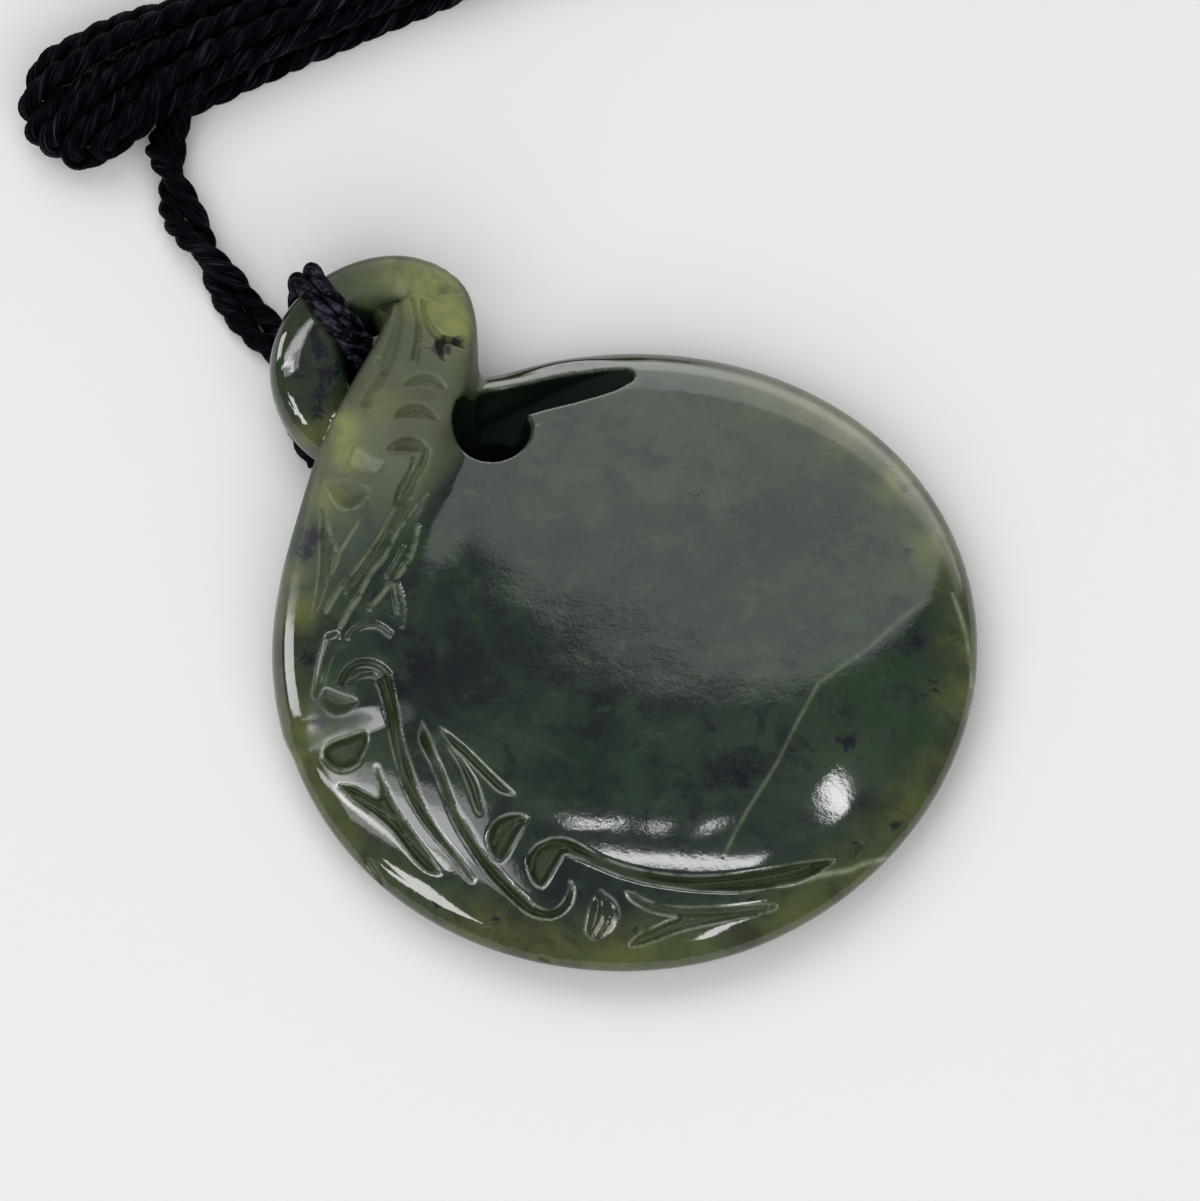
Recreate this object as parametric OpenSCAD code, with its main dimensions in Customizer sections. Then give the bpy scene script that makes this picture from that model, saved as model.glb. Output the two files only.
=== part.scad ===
// Twist pendant: a carved stone disc whose rim strand turns over itself in a loop, hitched to a
// doubled cord. It lies on its back, on the plane z = 0.

/* [Disc] */
// Diameter of the round disc
disc_d = 45.4; // [44:0.2:47]
// Thickness at the middle of the disc
disc_h = 6.8; // [6.4:0.1:7.4]
// Height of the rim's widest line above the table
rim_z = 3.2; // [3:0.1:3.4]
// Depth of the back's curve, cut off flat where it would pass the table
back_bulge = 3.8; // [3.6:0.1:4.2]
// Fullness of the lens, 2 is an ellipse and more is squarer at the rim
lens_power = 3; // [2.4:0.1:4]

/* [Twist] */
// Fullness of the strand's section, 2 is an ellipse
strand_power = 2.5; // [2:0.1:4]
// Diameter of the round notch beside the crossing
notch_d = 5; // [4:0.1:5.6]

/* [Cord] */
// Diameter of the cord
cord_d = 1.6; // [1.4:0.05:1.6]
// Distance between the two halves where they pass the stone side by side
pair_gap = 1.7; // [1.65:0.05:1.8]

/* [Bundle] */
// Length of the folded bundle
hank_l = 48; // [40:1:52]
// Width of the folded bundle along its straight stretch
hank_w = 7.2; // [6.8:0.2:7.6]
// Width of the folds at its seen end
hank_end_w = 8.6; // [8:0.2:9]
// Height of the folded bundle
hank_h = 5.6; // [5:0.2:6]
// Width of the tie, along the bundle
tie_w = 3; // [2:0.2:4]
// Thickness of the tie's thread
tie_t = 0.8; // [0.6:0.1:1]
// Diameter of the closing knot
knot_d = 4.4; // [4:0.2:5]
// Length of the closing knot
knot_l = 6; // [5:0.5:8]

/* [Hidden] */

disc_r = disc_d / 2;
notch_r = notch_d / 2;
stone_tall = 12;
gap = 0.1;

// Middle of the stone's own box, seen from the disc's centre
stone_middle = [-0.29, 2.94, 0];

// Rows of the strand, from its end in the disc's upper rim, under the crossing, round the loop,
// over the crossing and down the left rim: x, y and height of its middle, width, thickness
WIDE = 3;
THICK = 4;
strand_rows = [
    [1.6, 21.1, 3.1, 1.4, 2.2],
    [-2.4, 21.8, 2.9, 1.9, 3.2],
    [-5.6, 21.5, 2.6, 2.3, 3.9],
    [-9.2, 20.3, 2.3, 2.7, 4.1],
    [-12.5, 18.7, 2.2, 3.6, 4.1],
    [-15.6, 17.3, 2.3, 4.3, 4.1],
    [-18.0, 16.9, 3.0, 4.8, 3.9],
    [-19.8, 18.1, 3.8, 5.0, 3.8],
    [-20.7, 20.3, 4.6, 5.1, 3.8],
    [-20.5, 22.6, 5.2, 4.9, 3.8],
    [-19.4, 24.5, 5.5, 4.5, 3.9],
    [-17.3, 26.0, 5.5, 4.2, 4.0],
    [-14.9, 26.4, 5.6, 4.4, 4.0],
    [-13.1, 25.5, 5.7, 5.1, 4.1],
    [-12.6, 23.7, 5.8, 5.7, 4.2],
    [-12.9, 21.1, 5.9, 6.0, 4.3],
    [-13.8, 18.2, 5.9, 6.7, 4.4],
    [-14.9, 15.5, 5.4, 7.2, 4.6],
    [-16.5, 12.5, 4.7, 7.6, 4.7],
    [-17.7, 8.9, 4.0, 7.8, 4.5],
    [-18.5, 4.6, 3.5, 7.4, 4.0],
    [-19.1, 0.0, 3.2, 6.2, 3.2],
    [-18.7, -5.0, 3.1, 4.4, 2.4]
];
rear_rows = [0, 11];
front_rows = [10, 22];
steps_per_row = 3;
section_sides = 20;

// Centre of the round notch, and rows of the undercut that runs from it to a point under the
// rear strand: x, y and height of its middle, radius
notch_at = [-8.8, 15.8];
RADIUS = 3;
undercut_rows = [
    [-8.2, 18.0, 1.3, 1.8],
    [-7.2, 18.6, 1.8, 1.75],
    [-6.1, 19.0, 2.3, 1.6],
    [-5.0, 19.35, 2.8, 1.45],
    [-4.0, 19.65, 3.3, 1.3],
    [-3.0, 19.95, 3.8, 1.1],
    [-2.0, 20.2, 4.2, 0.9],
    [-1.0, 20.45, 4.6, 0.65],
    [0.0, 20.75, 5.0, 0.35]
];

// Route of the cord's middle, between its two halves: from the table beside the loop, under the
// left strand, up through the eye, over the strand, down round its outer side, and along the
// table under the first stretch to the end of the bight
hitch_route = [
    [-25.3, 28.2, 0.8], [-24.5, 27.1, 0.8], [-23.5, 26.0, 0.8], [-22.2, 24.9, 0.8],
    [-20.8, 23.9, 0.8], [-19.3, 22.9, 0.8], [-17.9, 22.0, 1.3], [-17.25, 21.6, 2.6],
    [-17.1, 21.5, 4.2], [-17.14, 21.46, 5.7], [-17.5, 21.95, 7.1], [-18.4, 22.8, 8.1],
    [-19.4, 24.0, 8.55], [-20.2, 25.3, 8.4], [-20.75, 26.4, 7.7], [-21.0, 27.15, 6.5],
    [-20.95, 27.3, 5.1], [-20.8, 27.0, 3.8], [-20.8, 26.1, 2.8], [-21.0, 24.9, 2.45],
    [-21.2, 23.5, 2.45], [-21.4, 22.1, 2.35], [-21.35, 20.7, 1.75], [-20.8, 19.3, 1.0],
    [-20.4, 18.0, 0.8]
];
// Direction from that route to the half on its right, at each of its points
hitch_side = [
    [5, 6], [5, 6], [5, 6], [5, 7],
    [5, 8], [4, 9], [2, 10], [0, 1],
    [0, 1], [1, 9], [4, 9], [6, 7],
    [7, 6], [7, 6], [7, 6], [7, 6],
    [8, 5], [8, 4], [8, 2], [1, 0],
    [1, 0], [1, 0], [1, 0], [1, 0],
    [1, 0]
];
bight_end = [-20.25, 16.5, 0.8];

// Routes of the two halves, from the hitch to the bundle
left_route = [
    [-25.92, 27.65, 0.8], [-26.95, 29.3, 0.8], [-27.9, 31.6, 0.8], [-29.0, 34.0, 0.8],
    [-30.0, 36.5, 0.8], [-30.5, 38.4, 0.8], [-30.6, 39.6, 0.9]
];
right_route = [
    [-24.85, 28.98, 0.8], [-25.07, 29.35, 0.8], [-25.65, 30.05, 1.6], [-26.8, 30.9, 2.4], [-28.1, 32.4, 2.5],
    [-28.9, 34.2, 2.5], [-29.3, 36.4, 2.3], [-29.4, 38.9, 2.0], [-29.3, 40.6, 2.0]
];
cord_sides = 8;

// The bundle bends a little: a short stretch from its seen end, then the long one
hank_start = [-35.2, 42.4];
hank_bend_at = 4.5;
hank_start_angle = 38;
hank_angle = 24;
tie_at = 27;

function unit(v) = v / norm(v);
function spline(a, b, c, d, t) =
    (2 * b + (c - a) * t + (2 * a - 5 * b + 4 * c - d) * t * t
        + (3 * b - 3 * c + d - a) * t * t * t) / 2;

// The rows, with the given number of steps from each to the next
function smoothed(rows, steps) = [
    for (i = [0:len(rows) - 2], s = [0:steps - 1])
        spline(rows[max(i - 1, 0)], rows[i], rows[i + 1], rows[min(i + 2, len(rows) - 1)], s / steps),
    rows[len(rows) - 1]
];
function tangents(p) = [
    for (i = [0:len(p) - 1]) unit(p[min(i + 1, len(p) - 1)] - p[max(i - 1, 0)])
];
function across(v, along) = unit(v - (v * along) * along);
// Normals carried along the tangents with no twist
function carried(t, start) = [
    for (i = 0, n = across(start, t[0]); i < len(t);
        i = i + 1, n = across(n, t[min(i, len(t) - 1)])) n
];
function point(row) = [row[0], row[1], row[2]];

// A closed skin over rings of points that run clockwise as seen from the next ring
module skin(rings) {
    sides = len(rings[0]);
    last = (len(rings) - 1) * sides;
    polyhedron(
        points = [for (ring = rings) each ring],
        faces = concat(
            [[for (k = [0:sides - 1]) sides - 1 - k]],
            [for (i = [0:len(rings) - 2], k = [0:sides - 1])
                each [
                    [i * sides + k, i * sides + (k + 1) % sides, (i + 1) * sides + k],
                    [i * sides + (k + 1) % sides, (i + 1) * sides + (k + 1) % sides, (i + 1) * sides + k]
                ]],
            [[for (k = [0:sides - 1]) last + k]]
        )
    );
}

// One ring of the strand: a full ellipse across the route, upright
function raised(v, power) = sign(v) * pow(abs(v), 2 / power);
function strand_ring(row, along) =
    let (side = unit([along[1], -along[0], 0]))
    [for (k = [0:section_sides - 1])
        let (a = 360 * k / section_sides)
        point(row) + side * row[WIDE] / 2 * raised(cos(a), strand_power)
            + [0, 0, row[THICK] / 2 * raised(sin(a), strand_power)]];

// The stretch of the strand from one row to another
strand_path = smoothed(strand_rows, steps_per_row);
strand_along = tangents([for (row = strand_path) point(row)]);
module strand(part) {
    skin([for (i = [part[0] * steps_per_row:part[1] * steps_per_row])
        strand_ring(strand_path[i], strand_along[i])]);
}

// The disc: a full lens, ground flat on its back
lens_steps = 11;
function lens(x) = sqrt(max(0, 1 - pow(x, lens_power)));
module disc() {
    radii = [for (i = [0:lens_steps]) sin(90 * i / lens_steps)];
    rotate_extrude($fn = 112)
        polygon(concat(
            [for (x = radii) [disc_r * x, rim_z + (disc_h - rim_z) * lens(x)]],
            [for (i = [lens_steps - 1:-1:0])
                [disc_r * radii[i], max(0, rim_z - back_bulge * lens(radii[i]))]]
        ));
}

module notch() {
    translate([notch_at[0], notch_at[1], -1]) cylinder(h = stone_tall, r = notch_r, $fn = 48);
}

module undercut() {
    for (i = [0:len(undercut_rows) - 2])
        hull() {
            translate(point(undercut_rows[i])) cylinder(h = stone_tall, r = undercut_rows[i][RADIUS], $fn = 28);
            translate(point(undercut_rows[i + 1]))
                cylinder(h = stone_tall, r = undercut_rows[i + 1][RADIUS], $fn = 28);
        }
}

module greenstone_twist() {
    color("darkolivegreen") translate(-stone_middle) {
        difference() {
            union() {
                disc();
                strand(front_rows);
            }
            notch();
            undercut();
        }
        strand(rear_rows);
    }
}

// A round cord along the points
module tube(points) {
    along = tangents(points);
    normals = carried(along, [0, 0, 1]);
    skin([for (i = [0:len(points) - 1])
        let (n = normals[i], b = cross(along[i], n))
        [for (k = [0:cord_sides - 1])
            let (a = 360 * k / cord_sides)
            points[i] + cord_d / 2 * (cos(a) * b + sin(a) * n)]]);
}

// The points of one half of the hitch, to the right of its route or to the left
function hitch_half(way) = [
    for (i = [0:len(hitch_route) - 1])
        hitch_route[i] + way * pair_gap / 2 * concat(unit(hitch_side[i]), [0])
];
function reversed(list) = [for (i = [len(list) - 1:-1:0]) list[i]];

module cord_hitch() {
    color("midnightblue") translate(-stone_middle)
        tube(concat(hitch_half(1), [bight_end], reversed(hitch_half(-1))));
}

module cord_left() {
    color("midnightblue") translate(-stone_middle) tube(left_route);
}

module cord_right() {
    color("midnightblue") translate(-stone_middle) tube(right_route);
}

// A bar with round ends, from the origin along X
module bar_outline(length, width) {
    circle(d = width);
    translate([0, -width / 2]) square([length, width]);
    translate([length, 0]) circle(d = width);
}

// Places a child along the long stretch of the bundle
module along_hank(distance) {
    bend = hank_start + hank_bend_at * [cos(hank_start_angle), sin(hank_start_angle)];
    translate([bend[0], bend[1], 0]) rotate([0, 0, hank_angle]) translate([distance, 0, 0]) children();
}
hank_straight = hank_l - hank_end_w / 2 - hank_w / 2 - hank_bend_at;

module cord_hank() {
    color("midnightblue") translate(-stone_middle)
        difference() {
            linear_extrude(hank_h) {
                translate(hank_start) rotate(hank_start_angle) bar_outline(hank_bend_at, hank_end_w, $fn = 48);
                along_hank(0) bar_outline(hank_straight, hank_w, $fn = 48);
            }
            tie_ring(tie_w, 1);
        }
}

// A square ring round the bundle's waist, that reaches past the bundle by the given amount
module tie_ring(width, past) {
    inner_w = hank_w - 2 * tie_t;
    inner_h = hank_h - 2 * tie_t;
    outer_w = hank_w + 2 * past;
    outer_h = hank_h + 2 * past;
    along_hank(tie_at - width / 2) difference() {
        translate([0, -outer_w / 2, hank_h / 2 - outer_h / 2]) cube([width, outer_w, outer_h]);
        translate([-1, -inner_w / 2, hank_h / 2 - inner_h / 2]) cube([width + 2, inner_w, inner_h]);
    }
}

module hank_tie() {
    color("black") translate(-stone_middle) tie_ring(tie_w - 2 * gap, 0);
}

module cord_knot() {
    color("midnightblue") translate(-stone_middle)
        along_hank(hank_straight + hank_w / 2 + gap) translate([0, 0, knot_d / 2]) rotate([0, 90, 0])
            rotate_extrude($fn = 32) polygon([
                [0, 0], [knot_d * 0.32, 0], [knot_d * 0.46, knot_l * 0.14], [knot_d / 2, knot_l * 0.35],
                [knot_d / 2, knot_l * 0.65], [knot_d * 0.46, knot_l * 0.86], [knot_d * 0.32, knot_l],
                [0, knot_l]
            ]);
}

greenstone_twist();
cord_hitch();
cord_left();
cord_right();
cord_hank();
hank_tie();
cord_knot();
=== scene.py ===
import math

import bmesh
import bpy
import numpy as np
from mathutils import Matrix, Vector


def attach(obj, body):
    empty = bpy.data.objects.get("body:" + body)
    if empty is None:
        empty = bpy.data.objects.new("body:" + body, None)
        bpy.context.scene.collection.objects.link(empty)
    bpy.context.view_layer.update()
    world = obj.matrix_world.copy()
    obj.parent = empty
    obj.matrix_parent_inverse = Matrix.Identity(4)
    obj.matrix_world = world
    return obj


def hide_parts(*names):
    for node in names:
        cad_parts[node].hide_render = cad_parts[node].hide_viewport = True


# A carved greenstone twist on a waxed cord, lying on a table and seen from the front and above.
# Lengths are in mm until placed() turns them into the frame's metres.
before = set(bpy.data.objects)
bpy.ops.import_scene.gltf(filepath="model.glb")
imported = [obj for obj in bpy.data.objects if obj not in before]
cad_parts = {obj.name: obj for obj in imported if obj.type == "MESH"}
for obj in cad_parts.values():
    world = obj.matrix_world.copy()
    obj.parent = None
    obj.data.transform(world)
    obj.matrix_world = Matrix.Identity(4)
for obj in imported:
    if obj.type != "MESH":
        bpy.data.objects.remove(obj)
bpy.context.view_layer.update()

mm = 0.001
stoneMiddle = np.array([-0.29, 2.94, 0.0])  # the frame's zero, seen from the disc's centre


def placed(points):
    return (np.asarray(points, float) - stoneMiddle) * mm


def unit(v):
    v = np.asarray(v, float)
    return v / np.maximum(np.linalg.norm(v, axis=-1, keepdims=True), 1e-12)


def eased(x):
    x = np.clip(x, 0, 1)
    return x * x * (3 - 2 * x)


def linked(name, data):
    made = bpy.data.objects.new(name, data)
    bpy.context.scene.collection.objects.link(made)
    return made


def applied(holder):  # the mesh that its modifiers make
    made = bpy.data.meshes.new_from_object(holder.evaluated_get(bpy.context.evaluated_depsgraph_get()))
    bpy.data.objects.remove(holder)
    return made


def readAll(items, name, width, kind):
    out = np.empty(len(items) * width, kind)
    items.foreach_get(name, out)
    return out.reshape(-1, width)


def meshPiece(name, points, faces, material):
    mesh = bpy.data.meshes.new(name)
    mesh.from_pydata([tuple(p) for p in points], [], [tuple(f) for f in faces])
    mesh.materials.append(material)
    mesh.polygons.foreach_set("use_smooth", [True] * len(mesh.polygons))
    return linked(name, mesh)


def addMark(mesh, name, values):
    mesh.attributes.new(name, "FLOAT", "POINT").data.foreach_set("value", values.astype(np.float32))


def cornerRows(mesh, sides):  # each corner's ring along a tube, and its place round it
    return np.divmod(readAll(mesh.loops, "vertex_index", 1, int)[:, 0], sides)


def addAlong(mesh, u, v):
    mesh.uv_layers.new(name="along").data.foreach_set("uv", np.stack([u, v], 1).astype(np.float32).ravel())


# The photograph's view
view = {
    "middle": (-1.463, 3.471, 0.0),  # what the picture's middle shows, in the frame
    "elevation": 60,
    "distance": 2500,
    "tall": 77.99,  # what the picture's height shows
    "sensor": 36,
}


def addCamera(values):
    data = bpy.data.cameras.new("camera")
    camera = linked("camera", data)
    lift = math.radians(values["elevation"])
    back = Vector((0, -math.cos(lift), math.sin(lift)))
    camera.location = (Vector(values["middle"]) + back * values["distance"]) * mm
    camera.rotation_euler = back.to_track_quat("Z", "Y").to_euler()
    data.sensor_width = values["sensor"]
    data.lens = values["sensor"] * values["distance"] / values["tall"]
    data.clip_start = 0.2
    data.clip_end = 20
    bpy.context.scene.camera = camera


addCamera(view)


# Materials
class Nodes:
    def __init__(self, name):
        self.material = bpy.data.materials.new(name)
        self.material.use_nodes = True
        self.tree = self.material.node_tree
        self.shader = self.tree.nodes["Principled BSDF"]

    def add(self, kind, inputs=None, **settings):
        node = self.tree.nodes.new("ShaderNode" + kind)
        for key, value in settings.items():
            setattr(node, key, value)
        for key, value in (inputs or {}).items():
            self.feed(node.inputs[key], value)
        return node

    def feed(self, socket, value):
        if isinstance(value, bpy.types.NodeSocket):
            self.tree.links.new(value, socket)
        else:
            socket.default_value = value

    def set(self, **values):
        for key, value in values.items():
            self.feed(self.shader.inputs[key.replace("_", " ")], value)

    def math(self, operation, a, b=0.0, clamp=False):
        return self.add("Math", {0: a, 1: b}, operation=operation, use_clamp=clamp).outputs[0]

    def times(self, a, b, clamp=False):
        return self.math("MULTIPLY", a, b, clamp)

    def mark(self, name):  # a mark kept on the mesh's points
        return self.add("Attribute", attribute_name=name).outputs["Fac"]

    def onObject(self):
        return self.add("TexCoord").outputs["Object"]

    def ramp(self, value, stops):
        node = self.add("ValToRGB", {0: value})
        elements = node.color_ramp.elements
        while len(elements) < len(stops):
            elements.new(0.5)
        for element, (at, colour) in zip(elements, stops):
            element.position = at
            element.color = (*colour, 1)
        return node.outputs[0]

    def fade(self, value, low, high):
        node = self.add("MapRange", {0: value, 1: low, 2: high}, interpolation_type="SMOOTHSTEP")
        return node.outputs[0]

    def mix(self, amount, a, b):
        node = self.add("Mix", data_type="RGBA")
        for socket, value in zip((node.inputs[0], node.inputs[6], node.inputs[7]), (amount, a, b)):
            if isinstance(value, tuple) and len(value) == 3:
                value = (*value, 1)
            self.feed(socket, value)
        return node.outputs[2]

    def noise(self, at, scale, detail=3, roughness=0.5, stretch=None, shift=(0, 0, 0), distortion=0.0):
        node = self.add("Mapping", {"Vector": at, "Scale": stretch or (1, 1, 1), "Location": shift})
        made = self.add("TexNoise", {"Vector": node.outputs[0], "Scale": scale, "Detail": detail,
                                     "Roughness": roughness, "Distortion": distortion})
        return made.outputs["Fac"]

    def bump(self, height, strength, distance, normal=None):
        node = self.add("Bump", {"Height": height, "Strength": strength, "Distance": distance})
        if normal is not None:
            self.feed(node.inputs["Normal"], normal)
        return node.outputs[0]


def cordMaterial(name, colour, paintedLight, sheen):
    n = Nodes(name)
    uv = n.add("UVMap", uv_map="along").outputs[0]
    fibres = n.noise(uv, 1.0, 2, stretch=(0.35, 26, 1))  # thin fibres that run with the plies
    clumps = n.noise(uv, 1.0, 3, stretch=(0.5, 5, 1), shift=(3, 1, 0))
    flecks = n.noise(n.onObject(), 900, 2)
    mixed = n.math("ADD", n.times(fibres, 0.6), n.times(clumps, 0.4))
    # paintedLight is a painted highlight: the raised fibres and plies, where the bump stands highest, get the
    # lighter colour
    shade = n.mix(n.fade(mixed, 0.50, 0.76), tuple(c * 0.6 for c in colour), paintedLight)
    # painted highlight: lilac specks where the cord is pulled tight over the stone
    glintSpots = n.noise(n.onObject(), 1300, 4, 0.65)
    shade = n.mix(n.times(n.mark("wrapGlint"), n.fade(glintSpots, 0.47, 0.64)), shade, (0.046, 0.043, 0.068))
    # painted shade: the creases between the plies are darker
    shade = n.mix(n.mark("crease"), shade, tuple(c * 0.3 for c in colour))
    n.set(Base_Color=shade, Roughness=n.math("ADD", n.times(flecks, 0.22), 0.34),
          Sheen_Weight=sheen, Sheen_Roughness=0.35, Sheen_Tint=(0.55, 0.58, 0.75, 1),
          Specular_IOR_Level=0.015, Normal=n.bump(mixed, 0.6, 0.00012))
    return n.material


# each cord's own colour, the colour of its painted highlight, and its sheen
waxedCord = cordMaterial("waxedCord", (0.0020, 0.0023, 0.0044), (0.040, 0.040, 0.062), 0.012)
tieThread = cordMaterial("tieThread", (0.0020, 0.0020, 0.0034), (0.026, 0.026, 0.040), 0.010)

# The cord: two halves, each from the bight's end under the stone's loop, through its half of the
# hitch and the bundle, to the closing knot
cord = {
    "thick": 1.6,
    "pairGap": 1.52,
    "step": 0.3,
    "plies": 3,
    "lay": 5.4,  # one whole turn of a ply
    "sides": 18,
    "plyAt": 0.44,  # a ply's middle and radius, as shares of the cord's radius
    "plySize": 0.56,
    "lumps": 0.09,
    "tight": 0.76,  # how much thinner it is where it is pulled tight over the stone
    "tightNear": (-19.9, 24.4, 7.3),
}
hitchRoute = [
    (-25.3, 28.2, 0.8), (-24.5, 27.1, 0.8), (-23.5, 26.0, 0.8), (-22.2, 24.9, 0.8),
    (-20.8, 23.9, 0.8), (-19.3, 22.9, 0.8), (-17.8, 22.2, 1.3), (-17.05, 22.0, 2.6),
    (-16.85, 22.1, 4.2), (-17.15, 22.0, 5.6), (-17.8, 22.3, 6.8), (-18.65, 23.0, 7.6),
    (-19.6, 24.05, 8.12), (-20.35, 25.3, 8.05), (-20.85, 26.4, 7.45), (-21.05, 27.15, 6.4),
    (-20.95, 27.3, 5.1), (-20.8, 27.0, 3.8), (-20.8, 26.1, 2.8), (-21.0, 24.9, 2.45),
    (-21.2, 23.5, 2.45), (-21.4, 22.1, 2.35), (-21.35, 20.7, 1.75), (-20.8, 19.3, 1.0),
    (-20.4, 18.0, 0.8),
]
hitchSide = [
    (5, 6), (5, 6), (5, 6), (5, 7), (5, 8), (4, 9), (2, 10), (0, 1), (0, 1), (1, 9), (4, 9), (6, 7),
    (7, 6), (7, 6), (7, 6), (7, 6), (8, 5), (8, 4), (8, 2), (1, 0), (1, 0), (1, 0), (1, 0), (1, 0),
    (1, 0),
]
bightEnd = (-20.25, 16.5, 0.8)
freeMiddle = [  # the two halves, one turn round each other on their way to the bundle
    (-25.3, 28.25, 0.85), (-26.2, 29.5, 1.35), (-27.2, 31.0, 1.65), (-28.1, 32.6, 1.65), (-28.9, 34.3, 1.65),
    (-29.5, 36.0, 1.65), (-29.95, 37.7, 1.65), (-30.2, 39.2, 1.6),
]
freeTurn = {"from": 0, "to": 330, "halfGap": 0.73}  # degrees, mm

# The bundle: s runs along its middle line from the seen end, c across it
bundle = {
    "start": (-35.65, 41.9),
    "bendAt": 4.5,
    "startAngle": 38,
    "angle": 25.5,
    "columnGap": 1.42,
    "endRadius": 4.3,
    "endHeights": (4.55, 0.85),
    "capAt": 40.1,
    "halfWidth": 3.6,
    "height": 5.6,
    "knotAt": 43.8,
    # across and height in the long stretch of each run, by fold: its upper and its lower run
    "upper": [(-1.63, 4.8), (-0.82, 3.58), (0, 4.8), (0.82, 3.58), (1.63, 4.8), (2.45, 3.58)],
    "lower": [(-2.45, 3.58), (-0.82, 0.82), (0, 2.2), (0.82, 0.82), (1.63, 2.2), (2.45, 0.82)],
    "enteringStops": (12, 18, 24, 30, 36),
    "stops": (11, 17, 23, 29, 35),
    "firstLift": 1.6,
    "runStep": 0.8,
    "settlings": 90,
    "held": 5,  # the first points of each half, which stay
}
# The left and the right half in the bundle: the points by which each comes in, across and height of its
# first run, its folds, where it turns back at the far end, and how far it reaches past that
halfRuns = [
    {"inward": [(-30.5, 40.9, 0.85), (-30.0, 42.2, 0.82), (-28.9, 43.4, 0.82)],
     "entering": (-2.45, 0.82), "folds": (1, 3, 5), "turnsBack": 39.4, "reach": 2.2, "side": 1},
    {"inward": [(-29.1, 41.8, 2.1), (-28.5, 43.0, 2.2), (-27.3, 44.2, 2.2)],
     "entering": (-1.63, 2.2), "folds": (0, 2, 4), "turnsBack": 38.2, "reach": 2.0, "side": -1},
]

middleStep = 0.05
middleAt = np.arange(-6, 56, middleStep)
middleAngle = np.radians(bundle["startAngle"] + (bundle["angle"] - bundle["startAngle"])
                         * eased((middleAt - bundle["bendAt"] + 2) / 4))
middleLine = np.cumsum(np.stack([np.cos(middleAngle), np.sin(middleAngle)], 1) * middleStep, axis=0)
middleLine += np.array(bundle["start"]) - middleLine[np.argmin(abs(middleAt))]


def fromBundle(points):  # rows of s, c, z
    s, c, z = np.asarray(points, float).T
    angle = np.interp(s, middleAt, middleAngle)
    x = np.interp(s, middleAt, middleLine[:, 0]) - c * np.sin(angle)
    y = np.interp(s, middleAt, middleLine[:, 1]) + c * np.cos(angle)
    return np.stack([x, y, z], 1)


def toBundle(points):
    out = []
    for x, y, z in points:
        away = np.array([x, y]) - middleLine
        i = np.argmin((away ** 2).sum(1))
        side = np.array([-math.sin(middleAngle[i]), math.cos(middleAngle[i])])
        out.append((middleAt[i], away[i] @ side, z))
    return np.array(out)


def splined(points, steps=10):
    p = np.asarray(points, float)
    a, b, c = np.vstack([2 * p[0] - p[1], p[:-2]]), p[:-1], p[1:]
    d = np.vstack([p[2:], 2 * p[-1] - p[-2]])
    t = np.linspace(0, 1, steps, endpoint=False)[:, None, None]
    rows = (2 * b + (c - a) * t + (2 * a - 5 * b + 4 * c - d) * t ** 2
            + (3 * b - 3 * c + d - a) * t ** 3) / 2
    return np.vstack([rows.transpose(1, 0, 2).reshape(-1, p.shape[1]), p[-1]])


def evenly(points, step):
    far = np.concatenate([[0], np.cumsum(np.linalg.norm(np.diff(points, axis=0), axis=1))])
    at = np.linspace(0, far[-1], max(2, int(round(far[-1] / step)) + 1))
    return np.stack([np.interp(at, far, points[:, k]) for k in range(points.shape[1])], 1)


def softened(points, times):
    p = points.copy()
    for _ in range(times):
        p[1:-1] = 0.25 * p[:-2] + 0.5 * p[1:-1] + 0.25 * p[2:]
    return p


def bundleRun(freeEnd, half):
    b, endSide = bundle, half["side"]
    rows = [tuple(r) for r in toBundle([freeEnd] + half["inward"])]
    rows += [(s, *half["entering"]) for s in b["enteringStops"]]
    for fold in half["folds"]:
        up, low = b["upper"][fold], b["lower"][fold]
        start = np.array(rows[-1][1:])
        for angle in (-90, -50, 0, 50, 90):  # back at the far end, up to the fold's upper run
            a = math.radians(angle)
            here = (start + up) / 2 + (up - start) / 2 * math.sin(a)
            rows.append((half["turnsBack"] + half["reach"] * math.cos(a), *here))
        rows += [(s, *up) for s in b["stops"][::-1]]
        column = (fold - 2.5) * b["columnGap"]
        out = math.sqrt(b["endRadius"] ** 2 - column ** 2) - cord["thick"] / 2
        top, bottom = b["endHeights"]
        bottom += b["firstLift"] * (fold == 0)  # the entering halves pass below the first fold
        rows.append((b["bendAt"], 0.6 * column + 0.4 * up[0], 0.6 * top + 0.4 * up[1]))
        for angle in (90, 55, 20, -20, -55, -90):
            a = math.radians(angle)
            rows.append((-out * math.cos(a), column, (top + bottom) / 2 + (top - bottom) / 2 * math.sin(a)))
        rows.append((b["bendAt"], 0.6 * column + 0.4 * low[0], 0.6 * bottom + 0.4 * low[1]))
        rows += [(s, *low) for s in b["stops"]]
    rows += [(39.5, endSide * 1.6 + 0.8, 1.3), (42.5, endSide * 0.6 + 0.1, 2.0),
             (b["knotAt"] + 0.6, endSide * 0.45, 2.2), (b["knotAt"] + 2.4, endSide * 0.4, 2.2)]
    return evenly(splined(rows), b["runStep"])


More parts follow.
